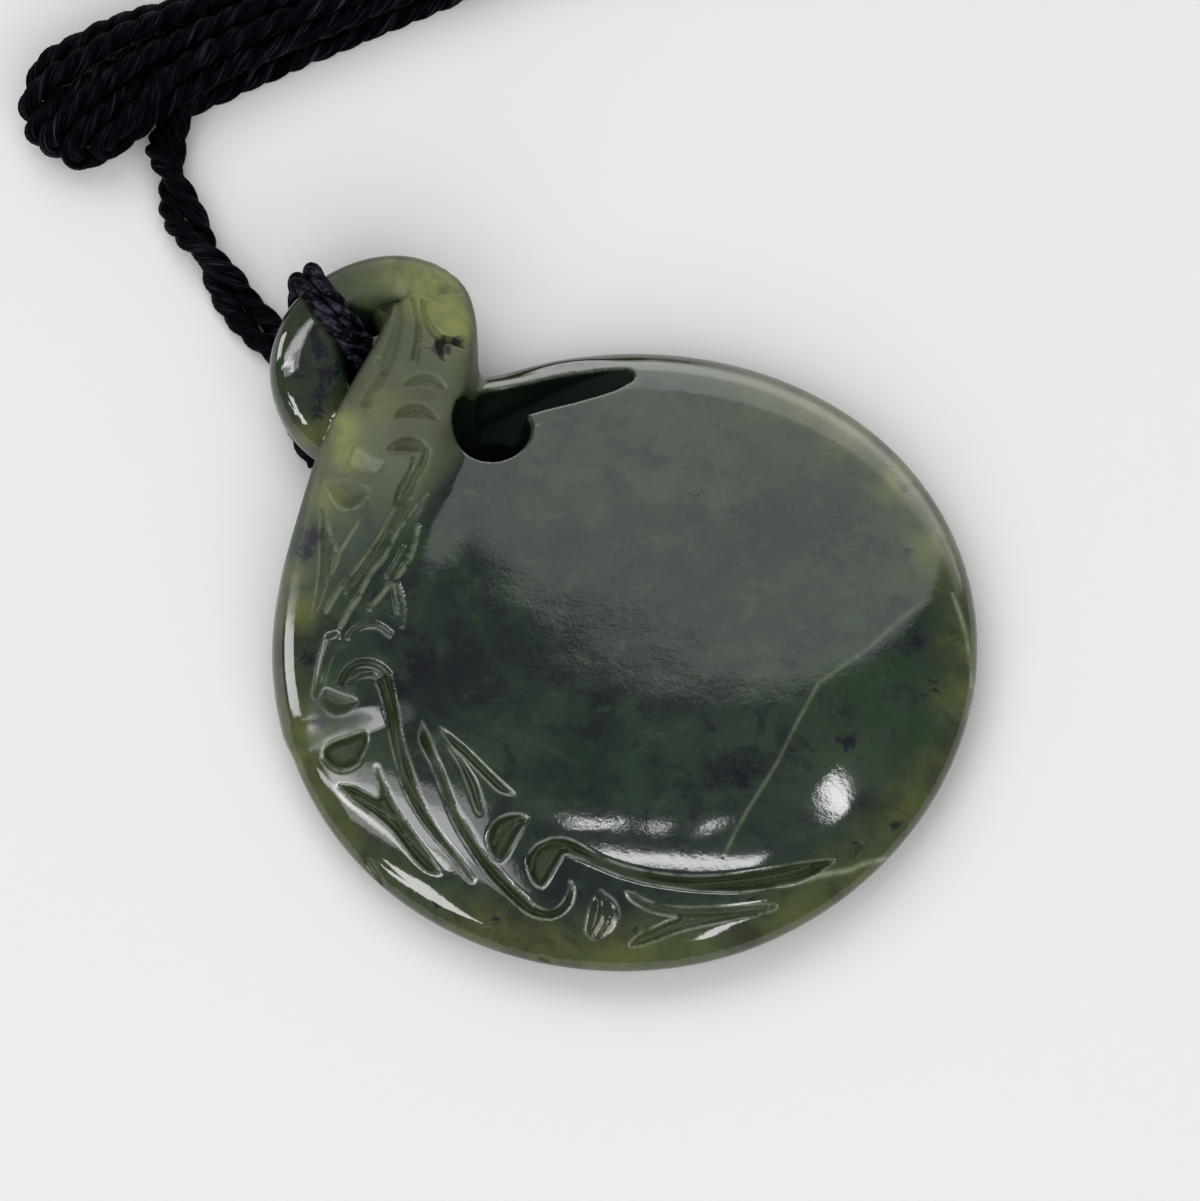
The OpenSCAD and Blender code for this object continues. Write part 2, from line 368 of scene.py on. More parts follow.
def settle(lines):  # pushes the runs apart and keeps them in the bundle's outline
    b = bundle
    p = np.vstack(lines)
    line = np.concatenate([[k] * len(rows) for k, rows in enumerate(lines)])
    index = np.concatenate([np.arange(len(rows)) for rows in lines])
    fixed = np.concatenate([(np.arange(len(rows)) < b["held"]) | (np.arange(len(rows)) > len(rows) - 3)
                            for rows in lines])
    first, r = p.copy(), cord["thick"] / 2
    near = (line[:, None] == line[None]) & (abs(index[:, None] - index[None]) <= 4)
    joined = (line[1:] == line[:-1])[:, None]
    for _ in range(b["settlings"]):
        apart = p[:, None] - p[None]
        far = np.linalg.norm(apart, axis=2) + near * 99 + 1e-6
        push = np.where(far < 2 * r, 2 * r - far, 0)
        shift = (apart / far[..., None] * push[..., None]).sum(1) * 0.28
        moved = p + shift - first
        moved[fixed] = 0
        inner = moved.copy()
        inner[:-1] += 0.5 * (moved[1:] - moved[:-1]) * joined * 0.5
        inner[1:] += 0.5 * (moved[:-1] - moved[1:]) * joined * 0.5
        inner[fixed] = 0
        p = first + inner
        wide = np.interp(p[:, 0], [3, 9], [b["endRadius"], b["halfWidth"]]) - r
        loose = ~fixed
        p[loose, 1] = np.clip(p[loose, 1], -wide[loose], wide[loose])
        p[loose, 2] = np.clip(p[loose, 2], r, b["height"] - r)
        for at, radius, way in ((0, b["endRadius"] - r, -1), (b["capAt"], b["halfWidth"] - r, 1)):
            past = loose & ((p[:, 0] - at) * way > 0)
            away = np.hypot(p[past, 0] - at, p[past, 1])
            cut = np.minimum(1, radius / np.maximum(away, 1e-6))
            p[past, 0] = at + (p[past, 0] - at) * cut
            p[past, 1] *= cut
    ends = np.cumsum([len(rows) for rows in lines])[:-1]
    return np.split(p, ends)


def tightness(line):
    far = np.linalg.norm(line - cord["tightNear"], axis=1)
    return 1 - (1 - cord["tight"]) * eased((6.0 - far) / 3.0)


def freePair():
    middle = splined(freeMiddle, 2)
    along = unit(np.gradient(middle[:, :2], axis=0))
    side = np.column_stack([along[:, 1], -along[:, 0], np.zeros(len(middle))])
    turn = np.radians(np.linspace(freeTurn["from"], freeTurn["to"], len(middle)))[:, None]
    way = (np.cos(turn) * side + np.sin(turn) * [0, 0, 1]) * freeTurn["halfGap"]
    low = np.maximum(0, cord["thick"] / 2 - (middle[:, 2:] - abs(way[:, 2:]))) * [0, 0, 1]
    return middle - way + low, middle + way + low


def cordLines():
    side = np.column_stack([unit(hitchSide), np.zeros(len(hitchSide))])
    route = np.array(hitchRoute)
    gap = cord["pairGap"] / 2 * tightness(route)[:, None]
    halves, tails, lines = [], [], []
    for free, half in zip(freePair(), halfRuns):
        halves.append(np.vstack([[bightEnd], (route - half["side"] * gap * side)[::-1], free[1:]]))
        tails.append(bundleRun(free[-1], half))
    for half, tail in zip(halves, settle(tails)):
        whole = np.vstack([splined(half)[:-1], splined(fromBundle(tail), 4)])
        lines.append(softened(evenly(whole, cord["step"]), 8))
    return lines


def ropeMesh(name, line, material):
    along = unit(np.gradient(line, axis=0))
    normal = np.zeros_like(line)
    n = np.array([0.0, 0.0, 1.0])
    for i, t in enumerate(along):
        n = unit(n - (n @ t) * t)
        normal[i] = n
    across = np.cross(along, normal)
    sides, plies = cord["sides"], cord["plies"]
    ring = np.arange(sides) * 2 * math.pi / sides
    toPly = (ring + math.pi / plies) % (2 * math.pi / plies) - math.pi / plies
    at, size = cord["plyAt"], cord["plySize"]
    radius = at * np.cos(toPly) + np.sqrt(size ** 2 - (at * np.sin(toPly)) ** 2)
    radius = radius * cord["thick"] / 2 * tightness(line)[:, None]
    dice = np.random.default_rng(len(line))
    far = np.arange(len(line)) * cord["step"]
    knots = np.arange(0, far[-1] + 2, 1.1)
    ply = (((ring + math.pi / plies) % (2 * math.pi)) / (2 * math.pi / plies)).astype(int) % plies
    thicker = [np.interp(far, knots, dice.normal(0, cord["lumps"], len(knots))) for _ in range(plies)]
    radius = radius * (1 + np.clip(np.stack(thicker, 1)[:, ply], -0.16, 0.0))
    turn = np.arange(len(line)) * cord["step"] * 2 * math.pi / cord["lay"]
    angle = ring[None] + turn[:, None]
    points = (line[:, None] + (np.cos(angle) * radius)[..., None] * across[:, None]
              + (np.sin(angle) * radius)[..., None] * normal[:, None])
    count = len(line)
    radius = radius[count // 2]
    points = np.vstack([points.reshape(-1, 3), line[:1], line[-1:]])
    first, k = np.arange(count - 1)[:, None] * sides, np.arange(sides)
    a, b = first + k, first + (k + 1) % sides
    quads = np.stack([a, b, b + sides, a + sides], 2).reshape(-1, 4).tolist()
    last = (count - 1) * sides
    caps = [(count * sides, (j + 1) % sides, j) for j in range(sides)]
    caps += [(count * sides + 1, last + j, last + (j + 1) % sides) for j in range(sides)]
    piece = meshPiece(name, placed(points), quads + caps, material)
    row, column = cornerRows(piece.data, sides)
    wrap = np.concatenate([np.tile([0, 1, 1, 0], len(quads)), np.zeros(len(row) - 4 * len(quads))])
    seam = (column == 0) & (wrap == 1)
    addAlong(piece.data, row * cord["step"], np.where(seam, sides, column) / sides)
    # where the creases between the plies lie, for the painted shade in them
    low = np.clip((radius.max() - radius) / (radius.max() - radius.min()), 0, 1) ** 2
    addMark(piece.data, "crease", np.concatenate([np.tile(low, count), [0.5, 0.5]]))
    # where the cord is pulled tight, for the painted highlight specks on it
    wrapGlint = np.repeat((1 - tightness(line)) / (1 - cord["tight"]), sides)
    addMark(piece.data, "wrapGlint", np.append(wrapGlint, [0, 0]))
    return piece


ropes, ropeLines = [], cordLines()
for name, line in zip(("cordLeftHalf", "cordRightHalf"), ropeLines):
    ropes.append(ropeMesh(name, line, waxedCord))
    print(name, len(line), "rings,", round(np.linalg.norm(np.diff(line, axis=0), axis=1).sum(), 1), "mm")


# Wound thread: a helix with a squared section, made in Geometry Nodes
def windingTree(name, material):
    tree = bpy.data.node_groups.new(name, "GeometryNodeTree")
    face = tree.interface
    face.new_socket("Geometry", in_out="OUTPUT", socket_type="NodeSocketGeometry")
    sockets = {}
    for label in ("turns", "pitch", "halfWide", "halfTall", "squareness", "threadRadius", "lay"):
        sockets[label] = face.new_socket(label, in_out="INPUT", socket_type="NodeSocketFloat").identifier
    given, out = tree.nodes.new("NodeGroupInput").outputs, tree.nodes.new("NodeGroupOutput")

    def add(kind, inputs=None, **settings):
        node = tree.nodes.new(kind)
        for key, value in settings.items():
            setattr(node, key, value)
        for key, value in (inputs or {}).items():
            if isinstance(value, bpy.types.NodeSocket):
                tree.links.new(value, node.inputs[key])
            else:
                node.inputs[key].default_value = value
        return node.outputs[0]

    def maths(operation, *values):
        return add("ShaderNodeMath", dict(enumerate(values)), operation=operation)

    perTurn = 72  # points
    line = add("GeometryNodeMeshLine", {"Count": maths("MULTIPLY", given["turns"], perTurn)})
    curve = add("GeometryNodeMeshToCurve", {"Mesh": line})
    index = add("GeometryNodeInputIndex")
    angle = maths("MULTIPLY", index, 2 * math.pi / perTurn)

    def rounded(wave, half):  # a squared circle: sign times a power of the wave
        power = maths("DIVIDE", 2.0, given["squareness"])
        size = maths("POWER", maths("ABSOLUTE", wave), power)
        return maths("MULTIPLY", maths("MULTIPLY", maths("SIGN", wave), size), half)

    place = add("ShaderNodeCombineXYZ", {
        0: maths("MULTIPLY", index, maths("DIVIDE", given["pitch"], perTurn)),
        1: rounded(maths("COSINE", angle), given["halfWide"]),
        2: rounded(maths("SINE", angle), given["halfTall"])})
    moved = add("GeometryNodeSetPosition", {"Geometry": curve, "Position": place})
    tilt = add("GeometryNodeSetCurveTilt", {"Curve": moved, "Tilt": maths("MULTIPLY", index, given["lay"])})
    circle = add("GeometryNodeCurvePrimitiveCircle",
                 {"Resolution": cord["sides"], "Radius": given["threadRadius"]})
    # the profile's points sink between the plies
    wave = maths("COSINE", maths("MULTIPLY", index, 2 * math.pi * cord["plies"] / cord["sides"]))
    lobed = add("ShaderNodeVectorMath", {0: add("GeometryNodeInputPosition"),
                                         "Scale": maths("ADD", maths("MULTIPLY", wave, 0.11), 0.89)},
                operation="SCALE")
    profile = add("GeometryNodeSetPosition", {"Geometry": circle, "Position": lobed})
    tube = add("GeometryNodeCurveToMesh", {"Curve": tilt, "Profile Curve": profile, "Fill Caps": True})
    smooth = add("GeometryNodeSetShadeSmooth", {"Geometry": tube})
    real = add("GeometryNodeRealizeInstances", {0: smooth})
    painted = add("GeometryNodeSetMaterial", {"Geometry": real, "Material": material})
    tree.links.new(painted, out.inputs[0])
    return tree, sockets


def wound(name, values, material, place):
    tree, sockets = windingTree(name + "Tree", material)
    holder = linked(name + "Holder", bpy.data.meshes.new(name + "Holder"))
    winding = holder.modifiers.new("winding", "NODES")
    winding.node_group = tree
    for label, identifier in sockets.items():
        winding[identifier] = float(values[label])
    made = applied(holder)
    points = place(readAll(made.vertices, "co", 3, np.float32).astype(float))
    made.vertices.foreach_set("co", placed(points).astype(np.float32).ravel())
    sides = cord["sides"]
    row, column = cornerRows(made, sides)
    addAlong(made, row * 0.2, column / sides)
    # the creases between the thread's plies, for the painted shade in them
    around = np.arange(len(points)) % sides * 2 * math.pi * cord["plies"] / sides
    addMark(made, "crease", (0.5 - 0.5 * np.cos(around)) ** 2 * 0.8)
    made.update()
    print(name, len(points), "points")
    return linked(name, made)


tie = {"turns": 5.0, "pitch": 0.56, "halfWide": 3.28, "halfTall": 2.5, "squareness": 3.2,
       "threadRadius": 0.3, "lay": 0.11, "at": 27}
knot = {"turns": 3.9, "pitch": 1.36, "closes": 2.0, "closing": 0.45, "halfWide": 1.42, "halfTall": 1.42,
        "squareness": 2.0, "threadRadius": 0.76, "lay": 0.12, "at": 43.9}


def onBundle(start, height):
    def place(points):
        return fromBundle(points + [start, 0, height])
    return place


def onKnot(points):  # the last turn closes over the cord's ends
    past = eased((points[:, :1] - knot["turns"] * knot["pitch"] + knot["closes"]) / knot["closes"])
    return points * (1 - knot["closing"] * past * [0, 1, 1])


tiePiece = wound("bundleTie", tie, tieThread,
                 onBundle(tie["at"] - tie["turns"] * tie["pitch"] / 2, bundle["height"] / 2))
atKnot = onBundle(knot["at"] + knot["threadRadius"] * 0.4, 2.2)
knotPiece = wound("closingKnot", knot, waxedCord, lambda points: atKnot(onKnot(points)))

for piece in ropes + [tiePiece, knotPiece]:
    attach(piece, "root")
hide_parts("cord_left", "cord_hitch", "cord_hank")
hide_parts("cord_right", "cord_hitch", "cord_hank")
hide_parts("hank_tie")
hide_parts("cord_knot")

# The stone: a lens-shaped disc whose rim strand loops over itself. The voxel copy of the solid is
# drawn onto this smooth form, made finer where it turns sharply or is carved, and then carved.
stone = {
    "radius": 22.7,
    "outline": [  # degrees, radius added
        (-180, 0), (-165, 0.05), (-150, 0.15), (-135, 0.3), (-115, 0.35), (-90, 0.22), (-72, 0.08),
        (-58, -0.2), (-44, -0.38), (-30, -0.42), (-15, -0.3), (0, 0), (15, 0.3), (30, 0.56), (45, 0.7),
        (60, 0.6), (75, 0.43), (90, 0.26), (110, 0.1), (130, 0), (180, 0)],
    "height": 6.8,
    "rimHeight": 3.2,
    "backBulge": 3.8,
    "lensPower": 3,
    "strandPower": 2.5,
    "crispPower": 4.6,  # the front strand's flat top
    "notchAt": (-8.8, 15.8),
    "notchRadius": 2.5,
    "notchSlant": 0.45,  # the hole leans, so that its foot lies nearer the disc's middle
    "notchTop": 5.7,
    "voxel": 0.36,
    "fillet": 2.4,
    "crossingFillet": 0.3,
    "crossingFrom": (11.3, 1.5),  # rows of the strand
    "slotFillet": 0.3,
    "cutFillet": 0.26,
    "backFillet": 0.5,
    "creaseWidth": 0.8,
    "creaseEdge": 0.2,  # how long a face's edge is at most, near a crease and in the carving
    "carvedEdge": 0.115,
    "stepAtMost": 0.3,
}
# Rows of the strand: x, y and height of its middle, width, thickness
strandRows = np.array([
    (1.6, 21.1, 3.1, 1.4, 2.2), (-2.4, 21.5, 2.9, 1.9, 3.1), (-5.6, 20.9, 2.5, 2.3, 3.6),
    (-9.2, 19.5, 2.1, 2.7, 3.8), (-12.5, 18.2, 2.1, 3.6, 3.9), (-15.6, 17.2, 2.3, 4.3, 4.1),
    (-18.0, 16.9, 3.0, 4.8, 3.9), (-19.8, 18.1, 3.8, 5.0, 3.8), (-20.7, 20.3, 4.6, 5.1, 3.8),
    (-20.5, 22.6, 5.2, 4.9, 3.8), (-19.4, 24.6, 5.5, 4.5, 3.9), (-17.3, 26.3, 4.6, 4.3, 5.8),
    (-14.9, 26.75, 4.2, 4.5, 6.8), (-13.1, 25.7, 4.5, 5.2, 6.5), (-12.75, 23.7, 5.4, 6.0, 5.0),
    (-13.15, 21.1, 5.9, 6.5, 4.3), (-14.1, 18.2, 5.9, 7.3, 4.4), (-15.2, 15.5, 5.4, 7.8, 4.6),
    (-16.55, 12.5, 4.7, 7.7, 4.7), (-17.5, 8.9, 4.0, 7.5, 4.5), (-18.3, 4.6, 3.5, 7.1, 4.0),
    (-18.85, 0.0, 3.2, 5.9, 3.2), (-18.5, -5.0, 3.1, 4.2, 2.4),
])
rearLast, frontFirst = 11, 10  # the strand's rear and front parts overlap between these rows
alongStrand = {  # where a look holds along the rows: its start and rise, its end and fall
    "crisp": (12.4, 2.2, 20.5, 3),
    "satin": (10.2, 2.5, 19.6, 1.9),
    "matte": (9.4, 1.4, 21.6, 1.6),
}
# Rows of the undercut from the notch: x, y and height of its floor, radius
undercutRows = np.array([
    (-8.2, 17.7, 2.5, 1.65), (-7.2, 18.25, 2.7, 1.35), (-6.1, 18.6, 2.9, 1.25), (-5.0, 18.9, 3.2, 1.22),
    (-4.0, 19.15, 3.5, 1.2), (-3.0, 19.4, 3.9, 1.12), (-2.0, 19.65, 4.3, 1.02), (-1.0, 19.95, 4.6, 0.88),
    (-0.2, 20.25, 4.9, 0.62),
])


def blendLow(a, b, k):
    h = np.maximum(k - abs(a - b), 0) / np.maximum(k, 1e-6)
    return np.minimum(a, b) - h * h * k / 4


def blendHigh(a, b, k):
    return -blendLow(-a, -b, k)


class Route:  # a smooth line over the table with values along it
    def __init__(self, rows, part, steps, first=0):
        way = np.gradient(rows[:, :2], axis=0)[part]
        self.rows, self.along, self.gap = rows[part], unit(way), np.linalg.norm(way, axis=1)
        self.first, self.steps = first, steps

    def nearest(self, p):
        found = np.empty(len(p), int)
        for i in range(0, len(p), 20000):
            part = p[i:i + 20000, :2]
            far = ((part[:, None] - self.rows[None, :, :2]) ** 2).sum(2)
            found[i:i + 20000] = far.argmin(1)
        return found

    def here(self, p, near):  # values at the foot of each point, its side distance, and past the ends
        t = self.along[near]
        step = ((p[:, :2] - self.rows[near, :2]) * t).sum(1) / self.gap[near]
        inside = (near > 0) & (near < len(self.rows) - 1)
        at = near + np.where(inside, np.clip(step, -1, 1), step)
        past = np.maximum(0, np.maximum(-at, at - (len(self.rows) - 1))) * self.gap[near]
        at = np.clip(at, 0, len(self.rows) - 1.001)
        low = at.astype(int)
        share = (at - low)[:, None]
        row = self.rows[low] * (1 - share) + self.rows[low + 1] * share
        t = unit(self.along[low] * (1 - share) + self.along[low + 1] * share)
        away = p[:, :2] - row[:, :2]
        return row, away[:, 0] * t[:, 1] - away[:, 1] * t[:, 0], self.first + at / self.steps, past


rowSteps = 10
allRows = softened(splined(strandRows, rowSteps), 12)
rear = Route(allRows, slice(0, rearLast * rowSteps + 1), rowSteps)
front = Route(allRows, slice(frontFirst * rowSteps, None), rowSteps, frontFirst)
undercut = Route(splined(undercutRows, 6), slice(None), 6)


def within(at, look):
    start, rise, end, fall = alongStrand[look]
    return eased((at - start) / rise) * eased((end - at) / fall)


def strandField(route, p, near, crisp=False):
    row, side, at, past = route.here(p, near)
    a, b = side / (row[:, 3] / 2), (p[:, 2] - row[:, 2]) / (row[:, 4] / 2)
    power = np.full(len(p), float(stone["strandPower"]))
    if crisp:
        power += within(at, "crisp") * (b > 0) * (stone["crispPower"] - stone["strandPower"])
    a, b = abs(a) + 1e-4, abs(b) + 1e-4
    value = a ** power + b ** power - 1
    slope = np.hypot(power * a ** (power - 1) / (row[:, 3] / 2), power * b ** (power - 1) / (row[:, 4] / 2))
    sign = np.where((value < 0) & (past < 1e-6), -1, 1)
    return np.hypot(np.maximum(value / np.maximum(slope, 0.05), -3), past) * sign, at


degrees = np.arange(-180, 181)
outlineMore = np.interp(degrees, *np.array(stone["outline"]).T)
for _ in range(50):
    ring = np.concatenate([outlineMore[-2:-1], outlineMore, outlineMore[1:2]])
    outlineMore = 0.25 * ring[:-2] + 0.5 * ring[1:-1] + 0.25 * ring[2:]


def discRadius(p):
    here = np.degrees(np.arctan2(p[:, 1], p[:, 0]))
    return stone["radius"] + np.interp(here, degrees, outlineMore)


def discField(p):
    s = stone
    r = np.hypot(p[:, 0], p[:, 1]) * s["radius"] / discRadius(p)
    top = p[:, 2] > s["rimHeight"]
    h = np.where(top, s["height"] - s["rimHeight"], s["backBulge"])
    z = (p[:, 2] - s["rimHeight"]) / h
    power = s["lensPower"]
    value = z ** 2 + (r / s["radius"]) ** power - 1
    slope = np.hypot(2 * z / h, power * r ** (power - 1) / s["radius"] ** power)
    return blendHigh(value / np.maximum(slope, 0.02), -p[:, 2], s["backFillet"])


def notchAway(p):
    low = np.maximum(0, stone["notchTop"] - p[:, 2]) * stone["notchSlant"]
    return np.hypot(p[:, 0] - stone["notchAt"][0], p[:, 1] - stone["notchAt"][1] + low)


def stoneField(p, near):
    s = stone
    disc = discField(p)
    over, at = strandField(front, p, near[0], True)
    solid = blendLow(disc, over, s["fillet"] * np.ones(len(p)))
    notch = s["notchRadius"] - notchAway(p)
    row, side, _, past = undercut.here(p, near[2])
    cut = blendLow(row[:, 3] - np.hypot(side, past), p[:, 2] - row[:, 2], s["slotFillet"])
    solid = blendHigh(solid, np.maximum(notch, cut), s["cutFillet"])
    under, _ = strandField(rear, p, near[1])
    start, rise = s["crossingFrom"]
    crossing = s["crossingFillet"] * eased((at - start) / rise)
    return blendLow(solid, under, crossing + 1e-4)


def nearestRows(p):
    return front.nearest(p), rear.nearest(p), undercut.nearest(p)


def slopes(p, near, size=0.02):
    out = np.empty_like(p)
    for k in range(3):
        step = np.zeros(3)
        step[k] = size
        out[:, k] = (stoneField(p + step, near) - stoneField(p - step, near)) / (2 * size)
    return out


def drawn(p, times=3):  # moves points onto the form
    for _ in range(times):
        near = nearestRows(p)
        value, slope = stoneField(p, near), slopes(p, near)
        step = -value[:, None] * slope / np.maximum((slope ** 2).sum(1), 0.2)[:, None]
        size = np.linalg.norm(step, axis=1, keepdims=True)
        p = p + step * np.minimum(1, stone["stepAtMost"] / np.maximum(size, 1e-9))
    return p


def voxelCopy():
    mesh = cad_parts["greenstone_twist"].data.copy()
    made = bmesh.new()
    made.from_mesh(mesh)
    bmesh.ops.remove_doubles(made, verts=made.verts, dist=1e-6)
    for v in made.verts:
        v.co = v.co / mm + Vector(stoneMiddle)
    x, y = stone["notchAt"]
    # fill the upright hole
    for dx, dy, radius, low, high in ((0, 0, 2.8, 0.02, 2.3), (1.2, 2.3, 1.9, 1.0, 2.4)):
        middle = Matrix.Translation((x + dx, y + dy, (low + high) / 2))
        bmesh.ops.create_cone(made, cap_ends=True, segments=40, radius1=radius, radius2=radius,
                              depth=high - low, matrix=middle)
    made.to_mesh(mesh)
    made.free()
    holder = linked("stoneHolder", mesh)
    slanted = bpy.data.meshes.new("slantedHole")
    made = bmesh.new()
    bmesh.ops.create_cone(made, cap_ends=True, segments=48, radius1=stone["notchRadius"], depth=8,
                          radius2=stone["notchRadius"])
    for v in made.verts:  # from 1 below the table to 7 above it
        v.co.z += 3
        v.co.x += x
        v.co.y += y - (stone["notchTop"] - v.co.z) * stone["notchSlant"]
    made.to_mesh(slanted)
    made.free()
    cutter = linked("slantedHole", slanted)
    for kind in ("REMESH", "BOOLEAN", "REMESH"):
        step = holder.modifiers.new(kind.lower(), kind)
        if kind == "REMESH":
            step.mode, step.voxel_size = "VOXEL", stone["voxel"]
        else:
            step.operation, step.object, step.solver = "DIFFERENCE", cutter, "EXACT"
    out = applied(holder)
    bpy.data.objects.remove(cutter)
    out.calc_loop_triangles()
    return (readAll(out.vertices, "co", 3, np.float32).astype(float),
            readAll(out.loop_triangles, "vertices", 3, np.int32).astype(int))


def edgesOf(triangles):
    pairs = np.sort(np.vstack([triangles[:, [0, 1]], triangles[:, [1, 2]], triangles[:, [2, 0]]]), axis=1)
    unique, back = np.unique(pairs, axis=0, return_inverse=True)
    return unique, back.reshape(3, -1).T


def halved(points, triangles, wanted):  # splits the edges that are too long, and each face's longest
    edges, of = edgesOf(triangles)
    far = np.linalg.norm(points[edges[:, 0]] - points[edges[:, 1]], axis=1)
    split = far > 1.35 * wanted[edges].min(1)
    longest = of[np.arange(len(of)), far[of].argmax(1)]
    for _ in range(6):
        touched = split[of].any(1)
        before = split.sum()
        split[longest[touched]] = True
        if split.sum() == before:
            break
    fresh = np.full(len(edges), -1)
    fresh[split] = len(points) + np.arange(split.sum())
    points = np.vstack([points, points[edges[split]].mean(1)])
    mids = fresh[of]
    count = (mids >= 0).sum(1)
    out = [triangles[count == 0]]
    t, m = triangles[count == 3], mids[count == 3]
    for face in ((t[:, 0], m[:, 0], m[:, 2]), (m[:, 0], t[:, 1], m[:, 1]),
                 (m[:, 2], m[:, 1], t[:, 2]), (m[:, 0], m[:, 1], m[:, 2])):
        out.append(np.stack(face, 1))
    for k in range(3):
        turn = [k, (k + 1) % 3, (k + 2) % 3]
        one = (count == 1) & (mids[:, k] >= 0)
        t, m = triangles[one][:, turn], mids[one][:, turn]
        out += [np.stack((t[:, 0], m[:, 0], t[:, 2]), 1), np.stack((m[:, 0], t[:, 1], t[:, 2]), 1)]
        two = (count == 2) & (mids[:, (k + 2) % 3] < 0)
        t, m = triangles[two][:, turn], mids[two][:, turn]
        out.append(np.stack((m[:, 0], t[:, 1], m[:, 1]), 1))
        a = np.linalg.norm(points[t[:, 0]] - points[m[:, 1]], axis=1)
        b = np.linalg.norm(points[m[:, 0]] - points[t[:, 2]], axis=1)
        near = a <= b
        out += [np.stack(f, 1)[near] for f in ((t[:, 0], m[:, 0], m[:, 1]), (t[:, 0], m[:, 1], t[:, 2]))]
        out += [np.stack(f, 1)[~near] for f in ((t[:, 0], m[:, 0], t[:, 2]), (m[:, 0], m[:, 1], t[:, 2]))]
    return points, np.vstack(out)


def evened(points, triangles, times, share=0.5):  # slides points along the form to even the faces
    edges, _ = edgesOf(triangles)
    count = np.bincount(edges.ravel(), minlength=len(points))[:, None]
    for _ in range(times):
        total = np.zeros_like(points)
        for k in range(3):
            total[:, k] = (np.bincount(edges[:, 0], points[edges[:, 1], k], len(points))
                           + np.bincount(edges[:, 1], points[edges[:, 0], k], len(points)))
        points = points + share * (total / np.maximum(count, 1) - points)
        points = drawn(points, 1)
    return points


def creaseNear(points):  # 1 where two forms meet, 0 away from it
    near = nearestRows(points)
    disc, (over, _) = discField(points), strandField(front, points, near[0], True)
    under, _ = strandField(rear, points, near[1])
    row, side, _, past = undercut.here(points, near[2])
    notch = abs(notchAway(points) - stone["notchRadius"])
    slot = abs(np.hypot(side, past) - row[:, 3]) + np.maximum(0, row[:, 2] - points[:, 2] - 0.5)
    gap = np.minimum.reduce([abs(disc - over) + abs(disc), abs(over - under) + abs(over),
                             abs(disc - under) + abs(disc), notch, slot])
    return 1 - eased(gap / stone["creaseWidth"])


def makeStone(material):
    points, triangles = voxelCopy()
    points = drawn(points, 8)
    points = evened(points, triangles, 2)
    for k in range(3):
        wanted = np.full(len(points), stone["voxel"] * 1.3)
        wanted = np.minimum(wanted, np.where(creaseNear(points) > 0.3, stone["creaseEdge"], 9))
        wanted = np.where(carvedNear(points), stone["carvedEdge"], wanted)
        before = len(points)
        points, triangles = halved(points, triangles, wanted)
        points[before:] = drawn(points[before:], 2)
        print("stone made finer", k, len(points), "points", len(triangles), "faces")
    points = evened(points, triangles, 2, 0.4)
    points = drawn(points, 2)
    slope = unit(slopes(points, nearestRows(points)))
    points = drawn(pulled(points, carvable(points, slope) > 0.5), 1)
    slope = unit(slopes(points, nearestRows(points)))
    points, marks = carved(points, slope)
    piece = meshPiece("greenstoneTwist", placed(points), triangles, material)
    for name, values in marks.items():
        addMark(piece.data, name, values)
    return piece


